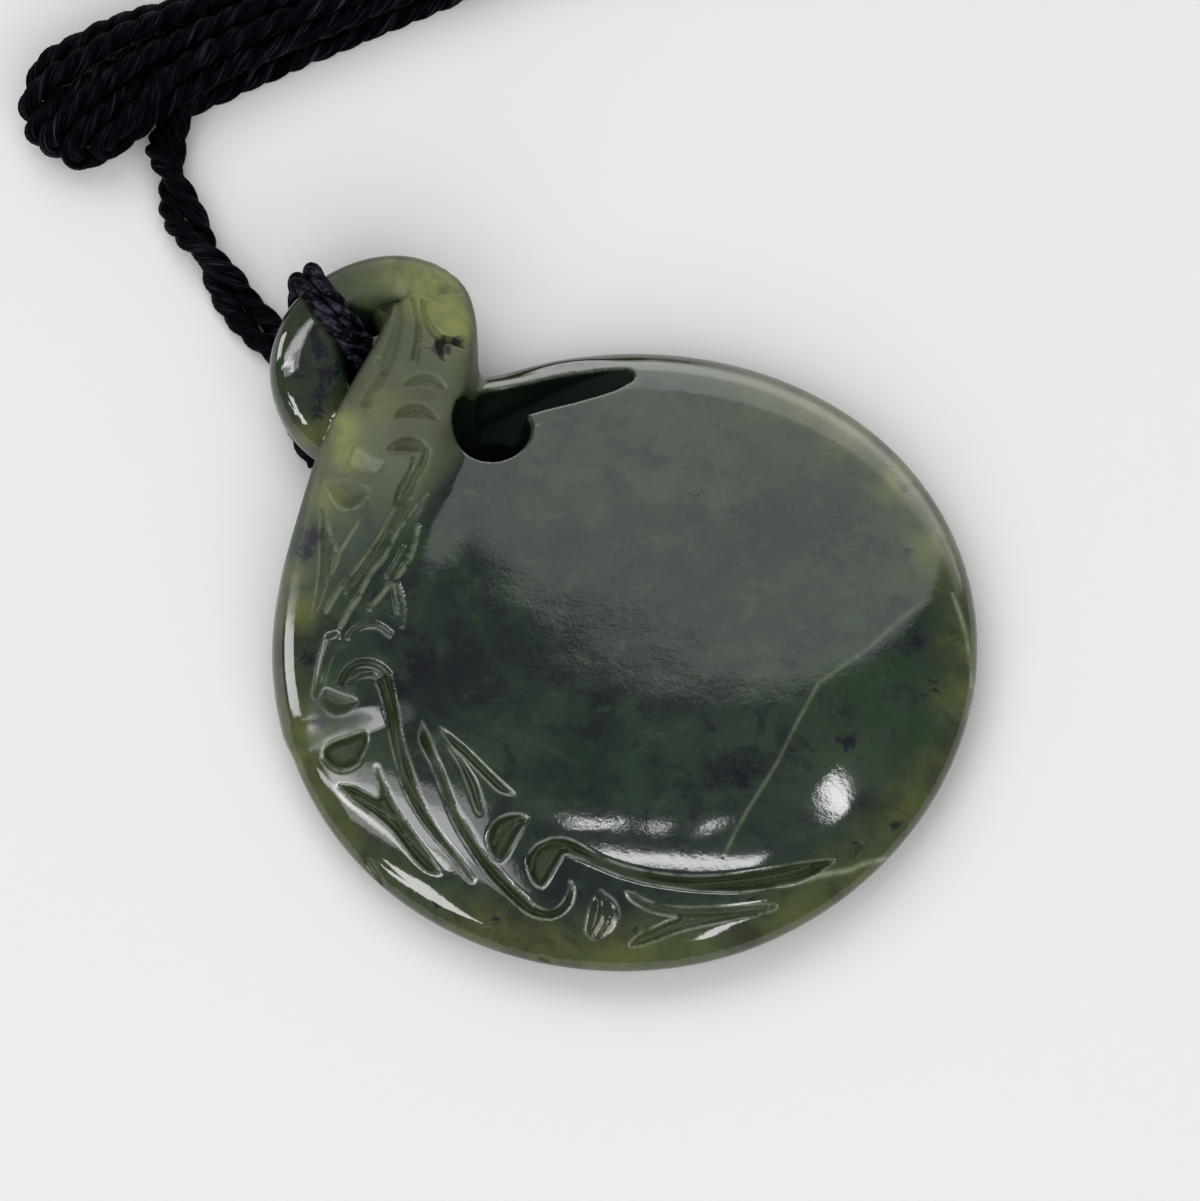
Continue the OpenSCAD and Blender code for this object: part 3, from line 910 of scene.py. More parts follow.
# The carving, in the photograph's pixels: outlines of hollows, middle lines of cuts, and ridges left
# inside them. Depths and heights are in mm.
pixels = {"middle": (627, 686), "perMm": 15.4}
upShare = math.cos(math.radians(30)), 0.5  # how much of a way back, and of a way up, shows as up
toEye = np.array([0, -upShare[1], upShare[0]])
hollows = {  # outline, depth, width of its sloping side, paleness of its floor
    "topMoon": ([(402, 388), (406, 380), (413, 375), (423, 372), (434, 374), (441, 378), (446, 385),
        (448, 392), (430, 389), (414, 389)], 0.34, 9, 0),
    "secondMoon": ([(394, 420), (396, 411), (403, 405), (413, 402), (424, 404), (433, 409), (438, 416),
        (441, 423), (425, 421), (408, 420)], 0.34, 9, 0),
    "archMoon": ([(385, 452), (391, 443), (399, 438), (410, 436), (421, 439), (428, 446), (430, 453),
        (410, 454)], 0.36, 8, 0),
    "browHollow": ([(433, 337), (440, 334), (450, 335), (461, 341), (468, 350), (460, 349), (449, 345),
        (444, 348), (446, 361), (441, 362), (435, 350)], 0.5, 6, 0),
    "foldHollow": ([(414, 359), (417, 346), (424, 343), (432, 346), (428, 351), (421, 352), (418, 360)],
        0.2, 5, 0),
    "longBlade": ([(322, 513), (328, 524), (333, 540), (336, 552), (331, 572), (325, 592), (318, 610),
        (312, 618), (315, 598), (319, 575), (320, 550), (320, 530)], 0.2, 6, 0.2),
    "facet": ([(347, 468), (352, 448), (357, 447), (372, 455), (386, 461), (378, 475), (362, 474)], 0.12, 5,
        0.8),
    "bowl": ([(324, 484), (332, 481), (345, 480), (358, 483), (371, 490), (366, 501), (356, 509),
        (343, 510), (333, 503), (327, 493)], 0.22, 14, 0.1),
    "leftChannel": ([(338, 630), (344, 640), (337, 650), (332, 662), (328, 674), (325, 687), (318, 699),
        (313, 696), (314, 680), (317, 664), (321, 649), (327, 633)], 0.2, 8, 0.05),
    "hangingMoon": ([(324, 687), (342, 693), (359, 699), (356, 707), (347, 714), (335, 716), (325, 709),
        (319, 698)], 0.24, 12, 0.05),
    "halfShell": ([(324, 749), (333, 741), (350, 735), (366, 730), (370, 736), (369, 745), (363, 757),
        (358, 765), (343, 771), (330, 765), (324, 757)], 0.5, 9, 0),
    "longTwo": ([(376, 682), (383, 673), (388, 671), (394, 680), (398, 700), (402, 724), (406, 744),
        (412, 764), (418, 784), (424, 800), (432, 814), (442, 830), (454, 846), (466, 862), (475, 877),
        (470, 879), (456, 861), (444, 847), (432, 833), (420, 817), (412, 803), (404, 787), (400, 773),
        (396, 759), (392, 741), (388, 721), (384, 704), (380, 690)], 0.5, 6, 0),
    "longThree": ([(423, 721), (430, 734), (436, 750), (444, 768), (452, 790), (460, 810), (470, 826),
        (482, 846), (492, 858), (502, 868), (515, 883), (527, 894), (537, 904), (548, 908), (558, 905),
        (565, 897), (569, 887), (570, 879), (574, 889), (571, 903), (561, 913), (547, 917), (532, 914),
        (519, 905), (505, 892), (490, 877), (478, 860), (466, 842), (456, 825), (448, 807), (442, 791),
        (436, 775), (428, 757), (420, 741), (421, 728)], 0.52, 6, 0),
    "leftFork": ([(340, 786), (348, 784), (358, 786), (369, 792), (380, 796), (378, 780), (376, 766),
        (380, 767), (385, 779), (391, 792), (398, 806), (407, 820), (417, 834), (427, 848), (436, 861),
        (442, 872), (430, 871), (418, 862), (408, 850), (396, 834), (384, 822), (370, 811), (354, 800)],
        0.52, 7, 0),
    "rightTine": ([(440, 727), (455, 737), (468, 748), (480, 760), (492, 772), (505, 784), (515, 794),
        (500, 791), (488, 780), (476, 768), (464, 756), (452, 745)], 0.42, 5, 0),
    "shortTine": ([(444, 739), (454, 748), (463, 758), (471, 770), (477, 780), (481, 792), (484, 808),
        (481, 814), (476, 807), (470, 790), (464, 774), (458, 761), (450, 749)], 0.36, 5, 0),
    "leaf": ([(528, 817), (518, 812), (505, 814), (495, 820), (489, 830), (488, 840), (492, 853),
        (499, 860), (506, 856), (513, 845), (520, 832), (526, 823)], 0.55, 9, 0),
    "beakAndLine": ([(550, 837), (563, 836), (576, 840), (591, 849), (606, 857), (625, 864), (645, 869),
        (665, 872), (690, 874), (720, 873), (745, 870), (772, 866), (798, 861), (833, 858), (823, 868),
        (810, 876), (795, 882), (777, 885), (760, 888), (740, 890), (720, 890), (700, 889), (680, 887),
        (660, 884), (640, 880), (620, 874), (605, 868), (590, 861), (575, 855), (565, 853), (560, 860),
        (553, 871), (548, 880), (541, 886), (534, 881), (529, 870), (527, 857), (532, 848), (540, 841)],
        0.6, 7, 0),
    "earHollow": ([(599, 888), (606, 892), (613, 897), (619, 907), (618, 920), (612, 930), (602, 937),
        (592, 937), (585, 929), (587, 915), (592, 898)], 0.2, 12, 0),
    "forkRight": ([(625, 890), (634, 891), (646, 898), (665, 903), (690, 905), (715, 904), (740, 903),
        (771, 902), (775, 907), (755, 914), (735, 918), (710, 923), (690, 927), (670, 933), (652, 940),
        (632, 945), (630, 940), (640, 931), (653, 925), (668, 918), (677, 915), (665, 913), (652, 910),
        (639, 904), (629, 897)], 0.32, 6, 0),
}
cuts = {  # middle line, width at its start and end, depth, paleness
    "foldLeft": ([(413, 299), (417, 312), (419, 325), (418, 342), (415, 360)], (9, 11), 0.32, 0),
    "foldRight": ([(423, 302), (425, 315), (430, 328), (439, 338)], (9, 13), 0.34, 0),
    "innerBand": ([(398, 304), (399, 320), (394, 340), (387, 364)], (12, 19), 0.22, 0),
    "pitLine": ([(437, 295), (446, 292), (456, 291)], (3, 4), 0.14, 0),
    "pit": ([(458, 292), (462, 293)], (7, 7), 0.22, 0.6),
    "softLine": ([(377, 360), (384, 370), (380, 382), (372, 392), (366, 404)], (9, 12), 0.15, 0),
    "archTail": ([(427, 452), (423, 464), (415, 476), (410, 488), (402, 502)], (8, 13), 0.3, 0.1),
    "archTailInner": ([(414, 458), (410, 472), (400, 490), (397, 505)], (4, 9), 0.3, 0),
    "bowlRim": ([(326, 491), (333, 504), (345, 511), (358, 508), (368, 498)], (5, 5), 0.12, 0.7),
    "bowlFold": ([(334, 485), (347, 489), (353, 498), (351, 507)], (4, 6), 0.12, 0.3),
    "sprigLeft": ([(323, 511), (327, 522), (331, 536), (337, 551)], (7, 6), 0.16, 1),
    "sprigRight": ([(360, 521), (352, 534), (344, 547), (338, 560), (333, 573)], (7, 7), 0.16, 0.98),
    "longFirst": ([(400, 498), (388, 520), (379, 537), (371, 550), (360, 565), (349, 579), (338, 594),
        (328, 611)], (5, 7), 0.17, 0.76),
    "longFirstSide": ([(391, 533), (381, 551), (372, 562), (360, 578), (347, 592)], (5, 6), 0.14, 0.32),
    "longSecond": ([(426, 495), (417, 506), (408, 518), (398, 532), (391, 545), (384, 559), (373, 571),
        (366, 584), (360, 597), (350, 611), (342, 626)], (5, 8), 0.19, 0.87),
    "longSecondSide": ([(410, 500), (401, 513), (392, 528)], (6, 7), 0.17, 0.27),
    "rightSprig": ([(418, 528), (416, 540), (413, 552), (408, 563), (401, 573), (392, 583), (380, 598),
        (371, 608)], (8, 7), 0.17, 0.76),
    "rightSprigSide": ([(404, 548), (397, 562), (388, 576)], (5, 6), 0.13, 0.48),
    "tineOne": ([(395, 584), (396, 597), (399, 611)], (4, 7), 0.12, 0.6),
    "tineTwo": ([(399, 584), (404, 598), (406, 612), (404, 625)], (4, 6), 0.12, 0.6),
    "archFour": ([(350, 637), (357, 629), (368, 625), (380, 626), (391, 634)], (8, 8), 0.22, 0.1),
    "archFive": ([(341, 684), (348, 671), (358, 664), (370, 663), (381, 667), (389, 675)], (8, 10), 0.3, 0),
    "chip": ([(370, 861), (378, 872), (384, 882)], (9, 6), 0.3, 0),
    "lowerChip": ([(541, 955), (549, 958)], (6, 6), 0.2, 0),
    "archFiveInner": ([(349, 684), (360, 677), (374, 675), (383, 681)], (5, 6), 0.16, 0),
}
ridges = {  # middle line, width, height above the floor
    "topMoonRidge": ([(423, 383), (432, 383), (440, 389)], 5, 0.2),
    "secondMoonRidge": ([(411, 414), (420, 413), (429, 418)], 5, 0.2),
    "archRidge": ([(394, 447), (403, 444), (414, 444), (423, 448)], 5, 0.24),
    "shellRidge": ([(326, 757), (335, 765), (346, 767), (358, 763)], 4, 0.2),
    "longTwoRidge": ([(384, 676), (391, 700), (396, 724), (400, 746), (406, 772), (412, 787), (420, 803),
        (430, 819), (444, 837), (460, 858), (471, 875)], 7, 0.36),
    "longThreeRidge": ([(423, 724), (431, 746), (439, 770), (449, 797), (459, 817), (469, 834), (481, 852),
        (493, 866), (506, 880), (519, 893), (533, 906)], 7, 0.36),
    "forkRidge": ([(342, 788), (360, 796), (380, 808), (396, 819), (408, 834), (423, 853), (437, 868)], 6,
        0.3),
    "tineRidge": ([(378, 768), (386, 794), (396, 812), (404, 826)], 5, 0.22),
    "leafRidge": ([(496, 842), (501, 831), (512, 821), (526, 817)], 4, 0.25),
    "beakRidge": ([(533, 868), (535, 855), (543, 846), (556, 842), (572, 847)], 4, 0.25),
    "longLineRidge": ([(570, 848), (590, 856), (610, 864), (635, 873), (660, 879), (690, 882), (720, 881),
        (750, 878), (780, 873), (808, 866)], 7, 0.36),
    "earRidge": ([(600, 893), (606, 905), (606, 918), (598, 931)], 7, 0.2),
    "rightForkRidge": ([(628, 892), (645, 902), (668, 909), (700, 911), (740, 909), (770, 906)], 5, 0.22),
}
carving = {  # in pixels
    "fineFaces": 5.4,  # round a stroke
    "felt": 14,  # how far round a stroke its distance matters
    "pulled": 1.15,  # from how near a point moves onto a stroke's edge
    "lip": 1.25,
    "above": 2.5,  # mm, and no stroke lies lower
}


def pictured(points):  # where the photograph shows them
    u = pixels["middle"][0] + pixels["perMm"] * points[:, 0]
    v = pixels["middle"][1] - pixels["perMm"] * (points[:, 1] * upShare[0] + points[:, 2] * upShare[1])
    return np.stack([u, v], 1)


def lineDistance(at, line):  # distance to a line, and how far along it the nearest place is
    line = np.asarray(line, float)
    lengths = np.linalg.norm(np.diff(line, axis=0), axis=1)
    starts = np.concatenate([[0], np.cumsum(lengths)])
    best, where = np.full(len(at), 1e9), np.zeros(len(at))
    for a, b, length, start in zip(line[:-1], line[1:], lengths, starts):
        share = np.clip(((at - a) @ (b - a)) / length ** 2, 0, 1)
        far = np.linalg.norm(at - a - share[:, None] * (b - a), axis=1)
        closer = far < best
        best[closer], where[closer] = far[closer], (start + share[closer] * length) / starts[-1]
    return best, where


def insideOutline(at, outline):
    inside = np.zeros(len(at), bool)
    for (x0, y0), (x1, y1) in zip(outline, outline[1:] + outline[:1]):
        crosses = (y0 > at[:, 1]) != (y1 > at[:, 1])
        inside ^= crosses & (at[:, 0] < (x1 - x0) * (at[:, 1] - y0) / (y1 - y0 + 1e-12) + x0)
    return inside


def curved(line, closed=False):  # rounds a stroke's corners a little
    if closed:
        whole = splined(np.array(line[-2:] + line + line[:2]), 3)
        return whole[6:-6]
    return splined(np.array(line), 3)


# Places painted lighter: pixel, radius in pixels, strength. They are a painted glow of light in the stone,
# along the rim, on the loop and on the strand.
paintedGlowPlaces = [
    (445, 288, 34, 1.7), (400, 270, 30, 0.7), (350, 278, 30, 0.5), (458, 322, 24, 1.2), (338, 430, 20, 1.3),
    (348, 458, 15, 1.3), (332, 500, 18, 0.9), (308, 440, 18, 0.8), (300, 608, 20, 1.0), (294, 575, 14, 0.9),
    (300, 760, 16, 1.1), (303, 730, 18, 0.8), (312, 800, 18, 0.7), (345, 838, 18, 0.5), (480, 930, 26, 0.4),
    (545, 948, 30, 0.45), (620, 955, 40, 0.5), (710, 940, 30, 0.35), (790, 915, 26, 0.35),
    (850, 872, 24, 0.3), (950, 770, 26, 0.5), (964, 700, 26, 1.1), (966, 640, 24, 1.3), (940, 540, 30, 1.3),
    (902, 475, 32, 1.5), (852, 425, 30, 1.4), (812, 402, 26, 1.0), (765, 385, 34, 0.7), (380, 400, 24, 0.3),
    (905, 800, 20, 0.25),
]
# Places painted darker, with the same columns: partly dark spots of the stone, partly painted shade on the
# left strand and round the loop's hole
darkSpotsAndShade = [
    (320, 352, 14, 0.9), (328, 372, 14, 0.9), (322, 392, 14, 0.9), (316, 410, 12, 0.8), (298, 376, 8, 0.8),
    (310, 330, 14, 0.7), (312, 535, 16, 0.9), (305, 552, 12, 0.8), (372, 330, 12, 0.4), (392, 372, 12, 0.5),
    (352, 400, 12, 0.4), (372, 600, 26, 0.5), (760, 900, 20, 0.6), (860, 850, 18, 0.6), (640, 925, 14, 0.5),
    (930, 690, 16, 0.5), (752, 520, 24, 0.9), (732, 508, 14, 0.6), (640, 558, 26, 0.6), (656, 592, 16, 0.5),
    (830, 546, 15, 0.7), (800, 640, 20, 0.8), (790, 664, 14, 0.7), (770, 682, 11, 0.6), (845, 741, 12, 1.0),
    (917, 641, 9, 0.8), (908, 552, 8, 0.8), (493, 612, 11, 0.7), (441, 347, 10, 1.4), (456, 341, 9, 0.8),
    (420, 665, 24, 0.9), (398, 690, 18, 0.8), (322, 720, 14, 0.9), (310, 660, 11, 0.9), (740, 772, 22, 0.8),
    (716, 782, 15, 0.6), (600, 702, 32, 0.45), (560, 680, 26, 0.45), (690, 742, 16, 0.5),
    (620, 742, 18, 0.4), (470, 872, 22, 0.6), (905, 862, 12, 0.8), (892, 822, 10, 0.8), (440, 900, 16, 0.6),
    (495, 925, 14, 0.7), (700, 500, 15, 0.5), (812, 566, 13, 0.6), (905, 490, 13, 0.7), (892, 466, 9, 0.7),
    (880, 482, 9, 0.6), (838, 470, 10, 0.4), (858, 496, 10, 0.5), (382, 312, 22, 0.5), (505, 690, 20, 0.4),
    (455, 640, 22, 0.3), (680, 860, 18, 0.5), (650, 640, 14, 0.4),
]
dullPlaces = [  # less polished
    (332, 713, 27, 1.0), (352, 722, 16, 0.8), (318, 738, 14, 0.8), (404, 712, 13, 0.9), (345, 690, 20, 0.7),
    (430, 742, 14, 0.6),
]
lushPlaces = [  # deeper green
    (890, 655, 46, 1.0), (860, 705, 50, 0.8), (915, 640, 30, 0.8), (905, 735, 36, 0.6), (430, 560, 36, 0.6),
    (520, 600, 40, 0.4), (600, 760, 50, 0.4),
]
lipHighlightPlaces = [  # where the painted highlights along the strokes' lips are strongest
    (345, 752, 40, 1.0), (390, 810, 60, 1.0), (450, 850, 50, 1.0), (515, 840, 50, 1.0), (560, 860, 50, 1.0),
    (640, 880, 60, 0.8), (730, 890, 50, 0.6), (540, 910, 40, 0.7),
]
veins = {  # middle line, width in pixels, strength
    "longVein": ([(818, 682), (806, 704), (790, 734), (776, 762), (760, 788), (745, 812), (731, 838),
        (722, 856)], 1.8, 0.5),
    "upperVein": ([(818, 682), (838, 668), (862, 652), (880, 637), (905, 615), (930, 598)], 2.4, 0.35),
    "shortVein": ([(777, 883), (800, 879), (826, 872), (846, 869), (862, 863), (884, 857)], 2.6, 1.0),
    "rimLine": ([(952, 594), (961, 620), (968, 652), (971, 686)], 2.2, 1.1),
}
# The hole inside the loop, as the photograph shows it, where the stone is painted in shade
holeOutline = [(344, 298), (366, 303), (383, 311), (390, 323), (382, 342), (372, 363), (358, 388), (346, 392),
               (336, 368), (328, 345), (334, 322)]


def placesNear(at, places):
    total = np.zeros(len(at))
    for u, v, radius, strength in places:
        total = np.maximum(total, strength * np.exp(-(((at - (u, v)) ** 2).sum(1)) / radius ** 2))
    return total


def idsNear(at, line, margin):
    low, high = np.min(line, 0) - margin, np.max(line, 0) + margin
    return np.flatnonzero(((at > low) & (at < high)).all(1))


def carvedDepth(at):
    depth, pale = np.zeros(len(at)), np.zeros(len(at))
    away, lip = np.full(len(at), 99.0), np.full(len(at), 99.0)
    rounded, inner = np.zeros(len(at)), np.zeros(len(at))
    for outline, deep, slope, tint in hollows.values():
        ring = curved(outline, True)
        ids = idsNear(at, ring, carving["felt"])
        far, _ = lineDistance(at[ids], np.vstack([ring, ring[:1]]))
        inside = insideOutline(at[ids], [tuple(p) for p in ring])
        away[ids] = np.minimum(away[ids], far)
        lip[ids] = np.minimum(lip[ids], far + 9 * (deep < 0.2))
        q = np.clip(far / slope, 0, 1)
        made = np.where(inside, deep * (0.6 * eased(q) + 0.4 * (1 - (1 - q) ** 2)), 0)
        fall = 0.02 * min(1, deep / 0.45) * np.where(inside, 1, np.clip(1 - far / 3.5, 0, 1) ** 2)
        rounded[ids] = np.maximum(rounded[ids], fall)
        inner[ids] = np.maximum(inner[ids], np.clip(made / 0.1, 0, 1) * min(1, deep / 0.45))
        pale[ids] = np.where(made > depth[ids], tint, pale[ids])
        depth[ids] = np.maximum(depth[ids], made)
    for line, (start, end), deep, tint in cuts.values():
        line = curved(line)
        ids = idsNear(at, line, carving["felt"])
        far, where = lineDistance(at[ids], line)
        half = (start + (end - start) * where) / 2
        away[ids] = np.minimum(away[ids], abs(far - half * 0.5))
        deep = min(deep, 0.75 * max(start, end) / 2 / pixels["perMm"])
        made = deep * np.clip(1 - (far / half) ** 2, 0, 1) ** 1.5
        inner[ids] = np.maximum(inner[ids], np.clip(made / 0.1, 0, 1) * 0.7)
        pale[ids] = np.where(made > depth[ids], tint, pale[ids])
        depth[ids] = np.maximum(depth[ids], made)
    for line, wide, high in ridges.values():
        line = curved(line)
        ids = idsNear(at, line, carving["felt"])
        far, _ = lineDistance(at[ids], line)
        low = high * np.clip(1 - (2 * far / wide) ** 2, 0, 1)
        depth[ids] = np.maximum(0, np.minimum(depth[ids], np.maximum(depth[ids] - low, depth[ids] * 0.15)))
    return depth, pale, away, lip, rounded, inner


def pulled(points, facing):  # moves the points beside a stroke's edge or a cut's middle onto it
    at = pictured(points)
    shift, best = np.zeros_like(at), np.full(len(at), carving["pulled"])
    rings = [curved(outline[0], True) for outline in hollows.values()]
    lines = [np.vstack([ring, ring[:1]]) for ring in rings]
    lines += [curved(stroke[0]) for stroke in (*cuts.values(), *veins.values())]
    for line in lines:
        ids = idsNear(at, line, 3)
        far, where = lineDistance(at[ids], line)
        lengths = np.linalg.norm(np.diff(line, axis=0), axis=1)
        starts = np.concatenate([[0], np.cumsum(lengths)]) / lengths.sum()
        foot = np.stack([np.interp(where, starts, line[:, k]) for k in (0, 1)], 1)
        closer = (far < best[ids]) & facing[ids]
        best[ids[closer]] = far[closer]
        shift[ids[closer]] = (foot - at[ids])[closer] / pixels["perMm"]
    down = -shift[:, 1:]
    return points + np.hstack([shift[:, :1], down * upShare[0], down * upShare[1]])


def carvable(points, slope):  # only the faces that look up and forwards
    return eased((slope @ toEye - 0.25) / 0.3) * (points[:, 2] > carving["above"])


def carvedNear(points):
    seen = pictured(points)
    away = carvedDepth(seen)[2]
    for line, _, _ in veins.values():
        away = np.minimum(away, lineDistance(seen, curved(line))[0] + 1.5)
    return (away < carving["fineFaces"]) & (points[:, 2] > carving["above"])


def carved(points, slope):
    seen = pictured(points)
    depth, pale, _, lip, rounded, inner = carvedDepth(seen)
    facing = carvable(points, slope)
    depth, rounded = depth * facing, rounded * facing
    r = np.hypot(points[:, 0], points[:, 1])
    over, at = strandField(front, points, front.nearest(points), True)
    frontRow, side, _, _ = front.here(points, front.nearest(points))
    onStrand = eased((0.6 - over) / 0.55)
    under, atRear = strandField(rear, points, rear.nearest(points))
    atBoth = np.where(abs(under) < abs(over), atRear, at)
    onEither = eased((0.9 - np.minimum(over, under)) / 0.6)
    upward = eased((slope[:, 2] - 0.5) / 0.3)
    satin = onEither * within(atBoth, "satin") * upward
    matte = np.maximum(onEither * within(atBoth, "matte"), placesNear(seen, dullPlaces))
    row, off, _, past = undercut.here(points, undercut.nearest(points))
    away = notchAway(points)
    inCut = (np.hypot(off, past) < row[:, 3] + 0.06) | (away < stone["notchRadius"] + 0.06)
    # painted shade: the notch and the undercut, and below them the loop's hole, are painted near black
    dark = np.where(inCut, 1.0, 0.0)
    hole = insideOutline(seen, holeOutline)
    far, _ = lineDistance(seen, holeOutline + holeOutline[:1])
    dark = np.maximum(dark, hole * eased(far / 9) * (1 - onStrand * (at > 13)))
    # painted glow: the disc's rim and the strand's sides are painted lighter olive, for light in the thin
    # edges
    rim = eased((r / discRadius(points) - 0.84) / 0.14)
    rim = rim * (1 - onStrand * eased((22 - at) / 3)) * (1 - 0.6 * eased((0.6 - under) / 0.5))
    rim = np.maximum(rim, onStrand * eased((abs(side) / (frontRow[:, 3] / 2) - 0.6) / 0.4) * 0.6)
    up = eased((slope[:, 2] + 0.1) / 0.3)
    # painted highlight along the strokes' lips, stronger in the places listed above
    lipHighlight = 0.3 + 0.7 * placesNear(seen, lipHighlightPlaces)
    vein = np.zeros(len(points))
    for line, wide, strength in veins.values():
        far, _ = lineDistance(seen, curved(line))
        vein = np.maximum(vein, strength * np.exp(-(far / wide) ** 2))
    marks = {"carved": inner * facing, "pale": pale * np.clip(depth / 0.12, 0, 1), "vein": vein * up,
             "satin": satin, "matte": matte, "rim": rim, "shade": dark,
             "edge": np.exp(-(lip / carving["lip"]) ** 2) * facing * (1 - 0.75 * satin) * lipHighlight,
             "lush": placesNear(seen, lushPlaces) * up, "paintedLight": placesNear(seen, paintedGlowPlaces) * up,
             "dark": placesNear(seen, darkSpotsAndShade) * up}
    return points - (depth + rounded)[:, None] * toEye, marks


def stoneMaterial():
    n = Nodes("greenstone")
    place = n.onObject()

    def spots(scale, detail, roughness, low, high, **more):
        return n.fade(n.noise(place, scale, detail, roughness, **more), low, high)

    clouds = n.noise(place, 95, 4, 0.62, distortion=0.6)
    big = n.noise(place, 42, 2, 0.5, shift=(0.3, 0.1, 0))
    base = n.ramp(n.math("ADD", n.times(clouds, 0.65), n.times(big, 0.35)), [
        (0.30, (0.004, 0.008, 0.012)), (0.43, (0.010, 0.019, 0.015)), (0.52, (0.020, 0.036, 0.022)),
        (0.62, (0.033, 0.052, 0.030)), (0.78, (0.048, 0.066, 0.036))])
    patches = n.noise(place, 430, 5, 0.66, shift=(4, 1, 3), distortion=0.5)
    brown = spots(210, 5, 0.7, 0.46, 0.62, shift=(2, 7, 1), distortion=0.7)
    rim, satin, matte, darkMark = n.mark("rim"), n.mark("satin"), n.mark("matte"), n.mark("dark")
    shade, carvedMark = n.mark("shade"), n.mark("carved")
    paintedLight = n.times(n.mark("paintedLight"), spots(260, 4, 0.65, 0.25, 0.6, distortion=0.8))
    ragged = n.times(n.math("SUBTRACT", n.noise(place, 850, 5, 0.7, distortion=1.2), 0.5), 2.2)
    dark = n.fade(n.math("ADD", n.times(darkMark, 0.9), ragged), 0.34, 0.78)
    inside = n.math("SUBTRACT", carvedMark, n.times(satin, 0.5), clamp=True)
    pale = n.times(n.mark("pale"), spots(1100, 4, 0.7, 0.28, 0.58))
    for amount, share, colour in (  # from the lowest layer to the topmost
            (spots(520, 3, 0.6, 0.60, 0.75), 0.5, (0.006, 0.010, 0.012)),
            (n.fade(patches, 0.50, 0.36), 0.65, (0.005, 0.009, 0.012)),
            (n.fade(patches, 0.53, 0.68), 0.55, (0.042, 0.068, 0.036)),
            # rim: painted glow of light in the thin edges, olive, with brown spots of the stone
            (n.times(rim, spots(130, 3, 0.6, 0.30, 0.62, shift=(5, 2, 1))), 0.8,
             n.mix(brown, (0.062, 0.078, 0.022), (0.026, 0.026, 0.010))),
            # painted glow of light in the stone
            (paintedLight, 0.85, (0.120, 0.142, 0.042)),
            (n.times(n.mark("lush"), n.fade(patches, 0.35, 0.6)), 1, (0.010, 0.036, 0.010)),
            (satin, 0.75, n.mix(clouds, (0.070, 0.084, 0.052), (0.112, 0.130, 0.062))),
            (n.times(brown, satin), 0.5, (0.040, 0.042, 0.024)),
            # painted glow on the strand's satin top, yellower
            (n.times(paintedLight, satin), 0.8, (0.23, 0.24, 0.065)),
            # dark: partly dark spots of the stone, partly painted shade
            (n.times(dark, n.fade(darkMark, 0.06, 0.4)), 0.92, (0.005, 0.005, 0.012)),
            (n.times(n.mark("vein"), spots(900, 3, 0.6, 0.2, 0.6)), 1, (0.20, 0.24, 0.15)),
            # shade: painted shade in the loop's hole, the notch and the undercut
            (shade, 0.95, (0.003, 0.007, 0.004)),
            (inside, 0.7, (0.026, 0.036, 0.012)),
            (pale, 0.72, (0.21, 0.25, 0.165)),
            # edge: painted highlight along the strokes' lips
            (n.times(n.mark("edge"), spots(700, 3, 0.6, 0.30, 0.62, shift=(1, 4, 2))), 0.66,
             (0.34, 0.37, 0.31))):
        base = n.mix(n.times(amount, share), base, colour)
    rough = n.math("ADD", n.times(n.noise(place, 240, 4, 0.7, stretch=(0.8, 1.3, 1.0)), 0.05), 0.03)
    way = n.add("SeparateXYZ", {0: place}).outputs
    farRight = n.times(n.fade(way[0], -0.004, 0.010), n.fade(way[1], -0.004, 0.008))
    for mark, amount in ((n.times(rim, farRight), 0.26), (matte, 0.42), (carvedMark, 0.34), (pale, 0.6),
                         (shade, 0.55)):
        rough = n.math("MAXIMUM", rough, n.times(mark, amount))
    normal = None
    for scale, detail, roughness, strength, distance in (
            (150, 2, 0.5, 0.065, 0.0004), (1500, 3, 0.6, 0.06, 0.00005), (3200, 3, 0.65, 0.10, 0.00002)):
        normal = n.bump(n.noise(place, scale, detail, roughness), strength, distance, normal)
    glossy = 0.5
    for mark, amount in ((shade, 0.47), (matte, 0.28), (inside, 0.36)):
        glossy = n.math("SUBTRACT", glossy, n.times(mark, amount), clamp=True)
    n.set(Base_Color=base, Roughness=rough, Normal=normal, IOR=1.62, Specular_IOR_Level=glossy,
          Subsurface_Weight=0.25, Subsurface_Scale=0.0012, Subsurface_Radius=(0.6, 1.0, 0.45))
    return n.material


stonePiece = makeStone(stoneMaterial())
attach(stonePiece, "root")
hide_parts("greenstone_twist")
print("stone", len(stonePiece.data.vertices), "points,", len(stonePiece.data.polygons), "faces")


# Floor and light
def addFloor():
    n = Nodes("paleTable")
    grain = n.noise(n.onObject(), 6, 3)
    n.set(Base_Color=n.mix(grain, (0.86, 0.86, 0.85), (0.89, 0.89, 0.88)), Roughness=0.75,
          Specular_IOR_Level=0.25)
    h = 4.0
    floor = meshPiece("floor", [(-h, -h, 0), (h, -h, 0), (h, h, 0), (-h, h, 0)], [(0, 1, 2, 3)], n.material)


def addPanel(name, values):
    data = bpy.data.lights.new(name, "AREA")
    data.shape = values.get("shape", "RECTANGLE")
    data.size, data.size_y = wide, tall = values["size"]
    area = wide * tall * (math.pi / 4 if data.shape == "ELLIPSE" else 1)
    data.energy = values["glow"] * math.pi * area
    data.color = values.get("colour", (1, 1, 1))
    panel = linked(name, data)
    panel.location = values["at"]
    away = Vector(values.get("from", (0, 0, 1)))
    panel.rotation_euler = away.to_track_quat("Z", "Y").to_euler()
    panel.rotation_euler.rotate_axis("Z", math.radians(values.get("turn", 0)))
    panel.visible_camera = False
    panel.visible_glossy = not values.get("soft")  # soft panels light, the others are only mirrored
    panel.visible_diffuse = not panel.visible_glossy


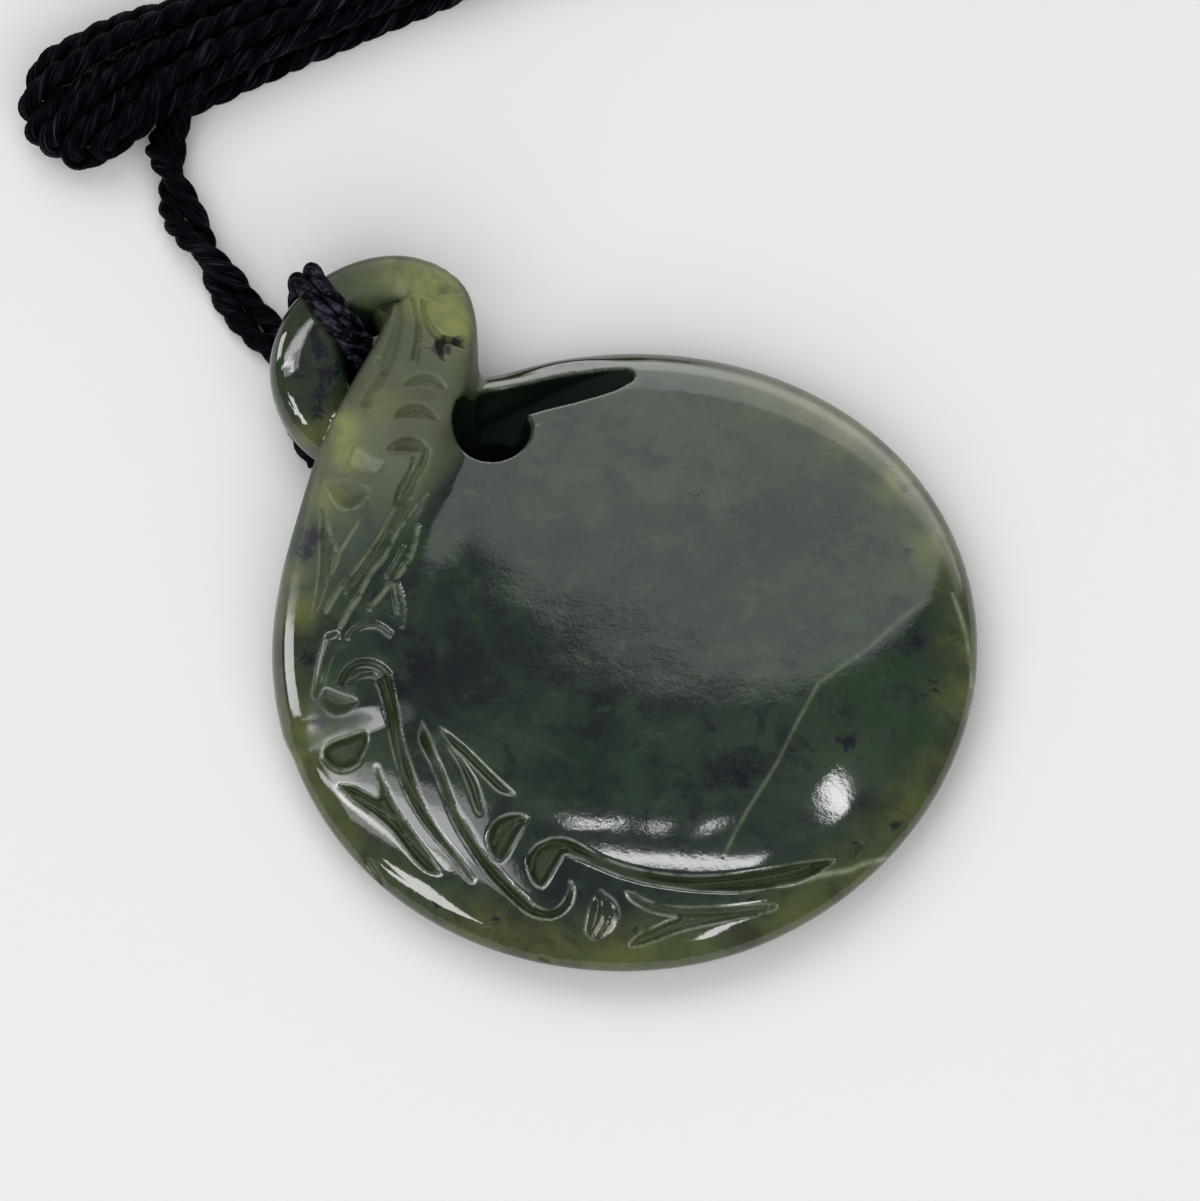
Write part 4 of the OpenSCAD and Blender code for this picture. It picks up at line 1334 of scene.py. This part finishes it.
# Metres. +Y is behind the object, and a panel's glow is what a mirror of it shows.
panels = {
    "backWall": {"at": (0.45, 1.5, 1.0), "from": (0, 1, 0.001), "size": (1.8, 3.84), "shape": "ELLIPSE",
                 "glow": 1.04, "colour": (0.93, 1.0, 0.92)},
    "backHorizon": {"at": (0.55, 1.45, 0.3), "from": (0, 1, 0.001), "size": (2.4, 0.34), "glow": 1.3},
    "backLow": {"at": (0.55, 1.46, 0.5), "from": (0, 1, 0.001), "size": (2.4, 0.8), "glow": 0.8},
    "leftWindow": {"at": (-0.79, 0.19, 1.2), "size": (1.18, 0.40), "glow": 2.5},
    "leftWindowPane": {"at": (-0.74, 0.22, 1.19), "size": (1.0, 0.20), "glow": 3.2},
    "leftStrip": {"at": (-1.17, 0.168, 1.21), "size": (1.52, 0.10), "turn": -10, "glow": 6.5},
    "leftWindowFoot": {"at": (-1.02, -0.46, 1.2), "size": (0.50, 0.27), "glow": 9.0},
    "frontLeftWindow": {"at": (-1.30, -0.74, 1.2), "size": (1.05, 0.29), "glow": 9.0},
    "sideWindow": {"at": (-1.45, 0.65, 0.55), "from": (-1.45, 0.65, 0.4), "size": (0.42, 0.62), "glow": 7.0},
    "ceilingStrip": {"at": (0.12, 0.20, 1.2), "size": (0.36, 0.05), "turn": -24, "glow": 10.5},
    "ceilingSpotLeft": {"at": (-0.035, 0.375, 1.2), "size": (0.06, 0.02), "glow": 13.0},
    "ceilingSpotMiddle": {"at": (0.04, 0.365, 1.2), "size": (0.02, 0.02), "glow": 13.0},
    "ceilingSpotRight": {"at": (0.125, 0.345, 1.2), "size": (0.03, 0.02), "glow": 12.0},
    "ceilingSpotNear": {"at": (0.41, -0.55, 1.2), "size": (0.12, 0.60), "glow": 9.0},
    "roundLamp": {"at": (0.42, 0.294, 1.2), "size": (0.25, 0.06), "turn": -47, "shape": "ELLIPSE",
                  "glow": 13.5},
    "softFront": {"at": (0.0, -1.7, 1.5), "from": (0.0, -1.0, 0.85), "size": (3.2, 2.0), "glow": 2.55,
                  "soft": True},
    "softOverhead": {"at": (-0.5, 0.5, 1.9), "from": (-0.3, 0.3, 1.0), "size": (2.0, 2.0), "glow": 1.3,
                     "soft": True},
}
world = {"colour": (0.96, 0.98, 1.0), "strength": 0.2}


def addWorld(values):
    made = bpy.data.worlds.new("studio")
    made.use_nodes = True
    back = made.node_tree.nodes["Background"]
    back.inputs[0].default_value = (*values["colour"], 1)
    back.inputs[1].default_value = values["strength"]
    bpy.context.scene.world = made


addFloor()
for name, values in panels.items():
    addPanel(name, values)
addWorld(world)
bpy.context.scene.view_settings.view_transform = "Standard"
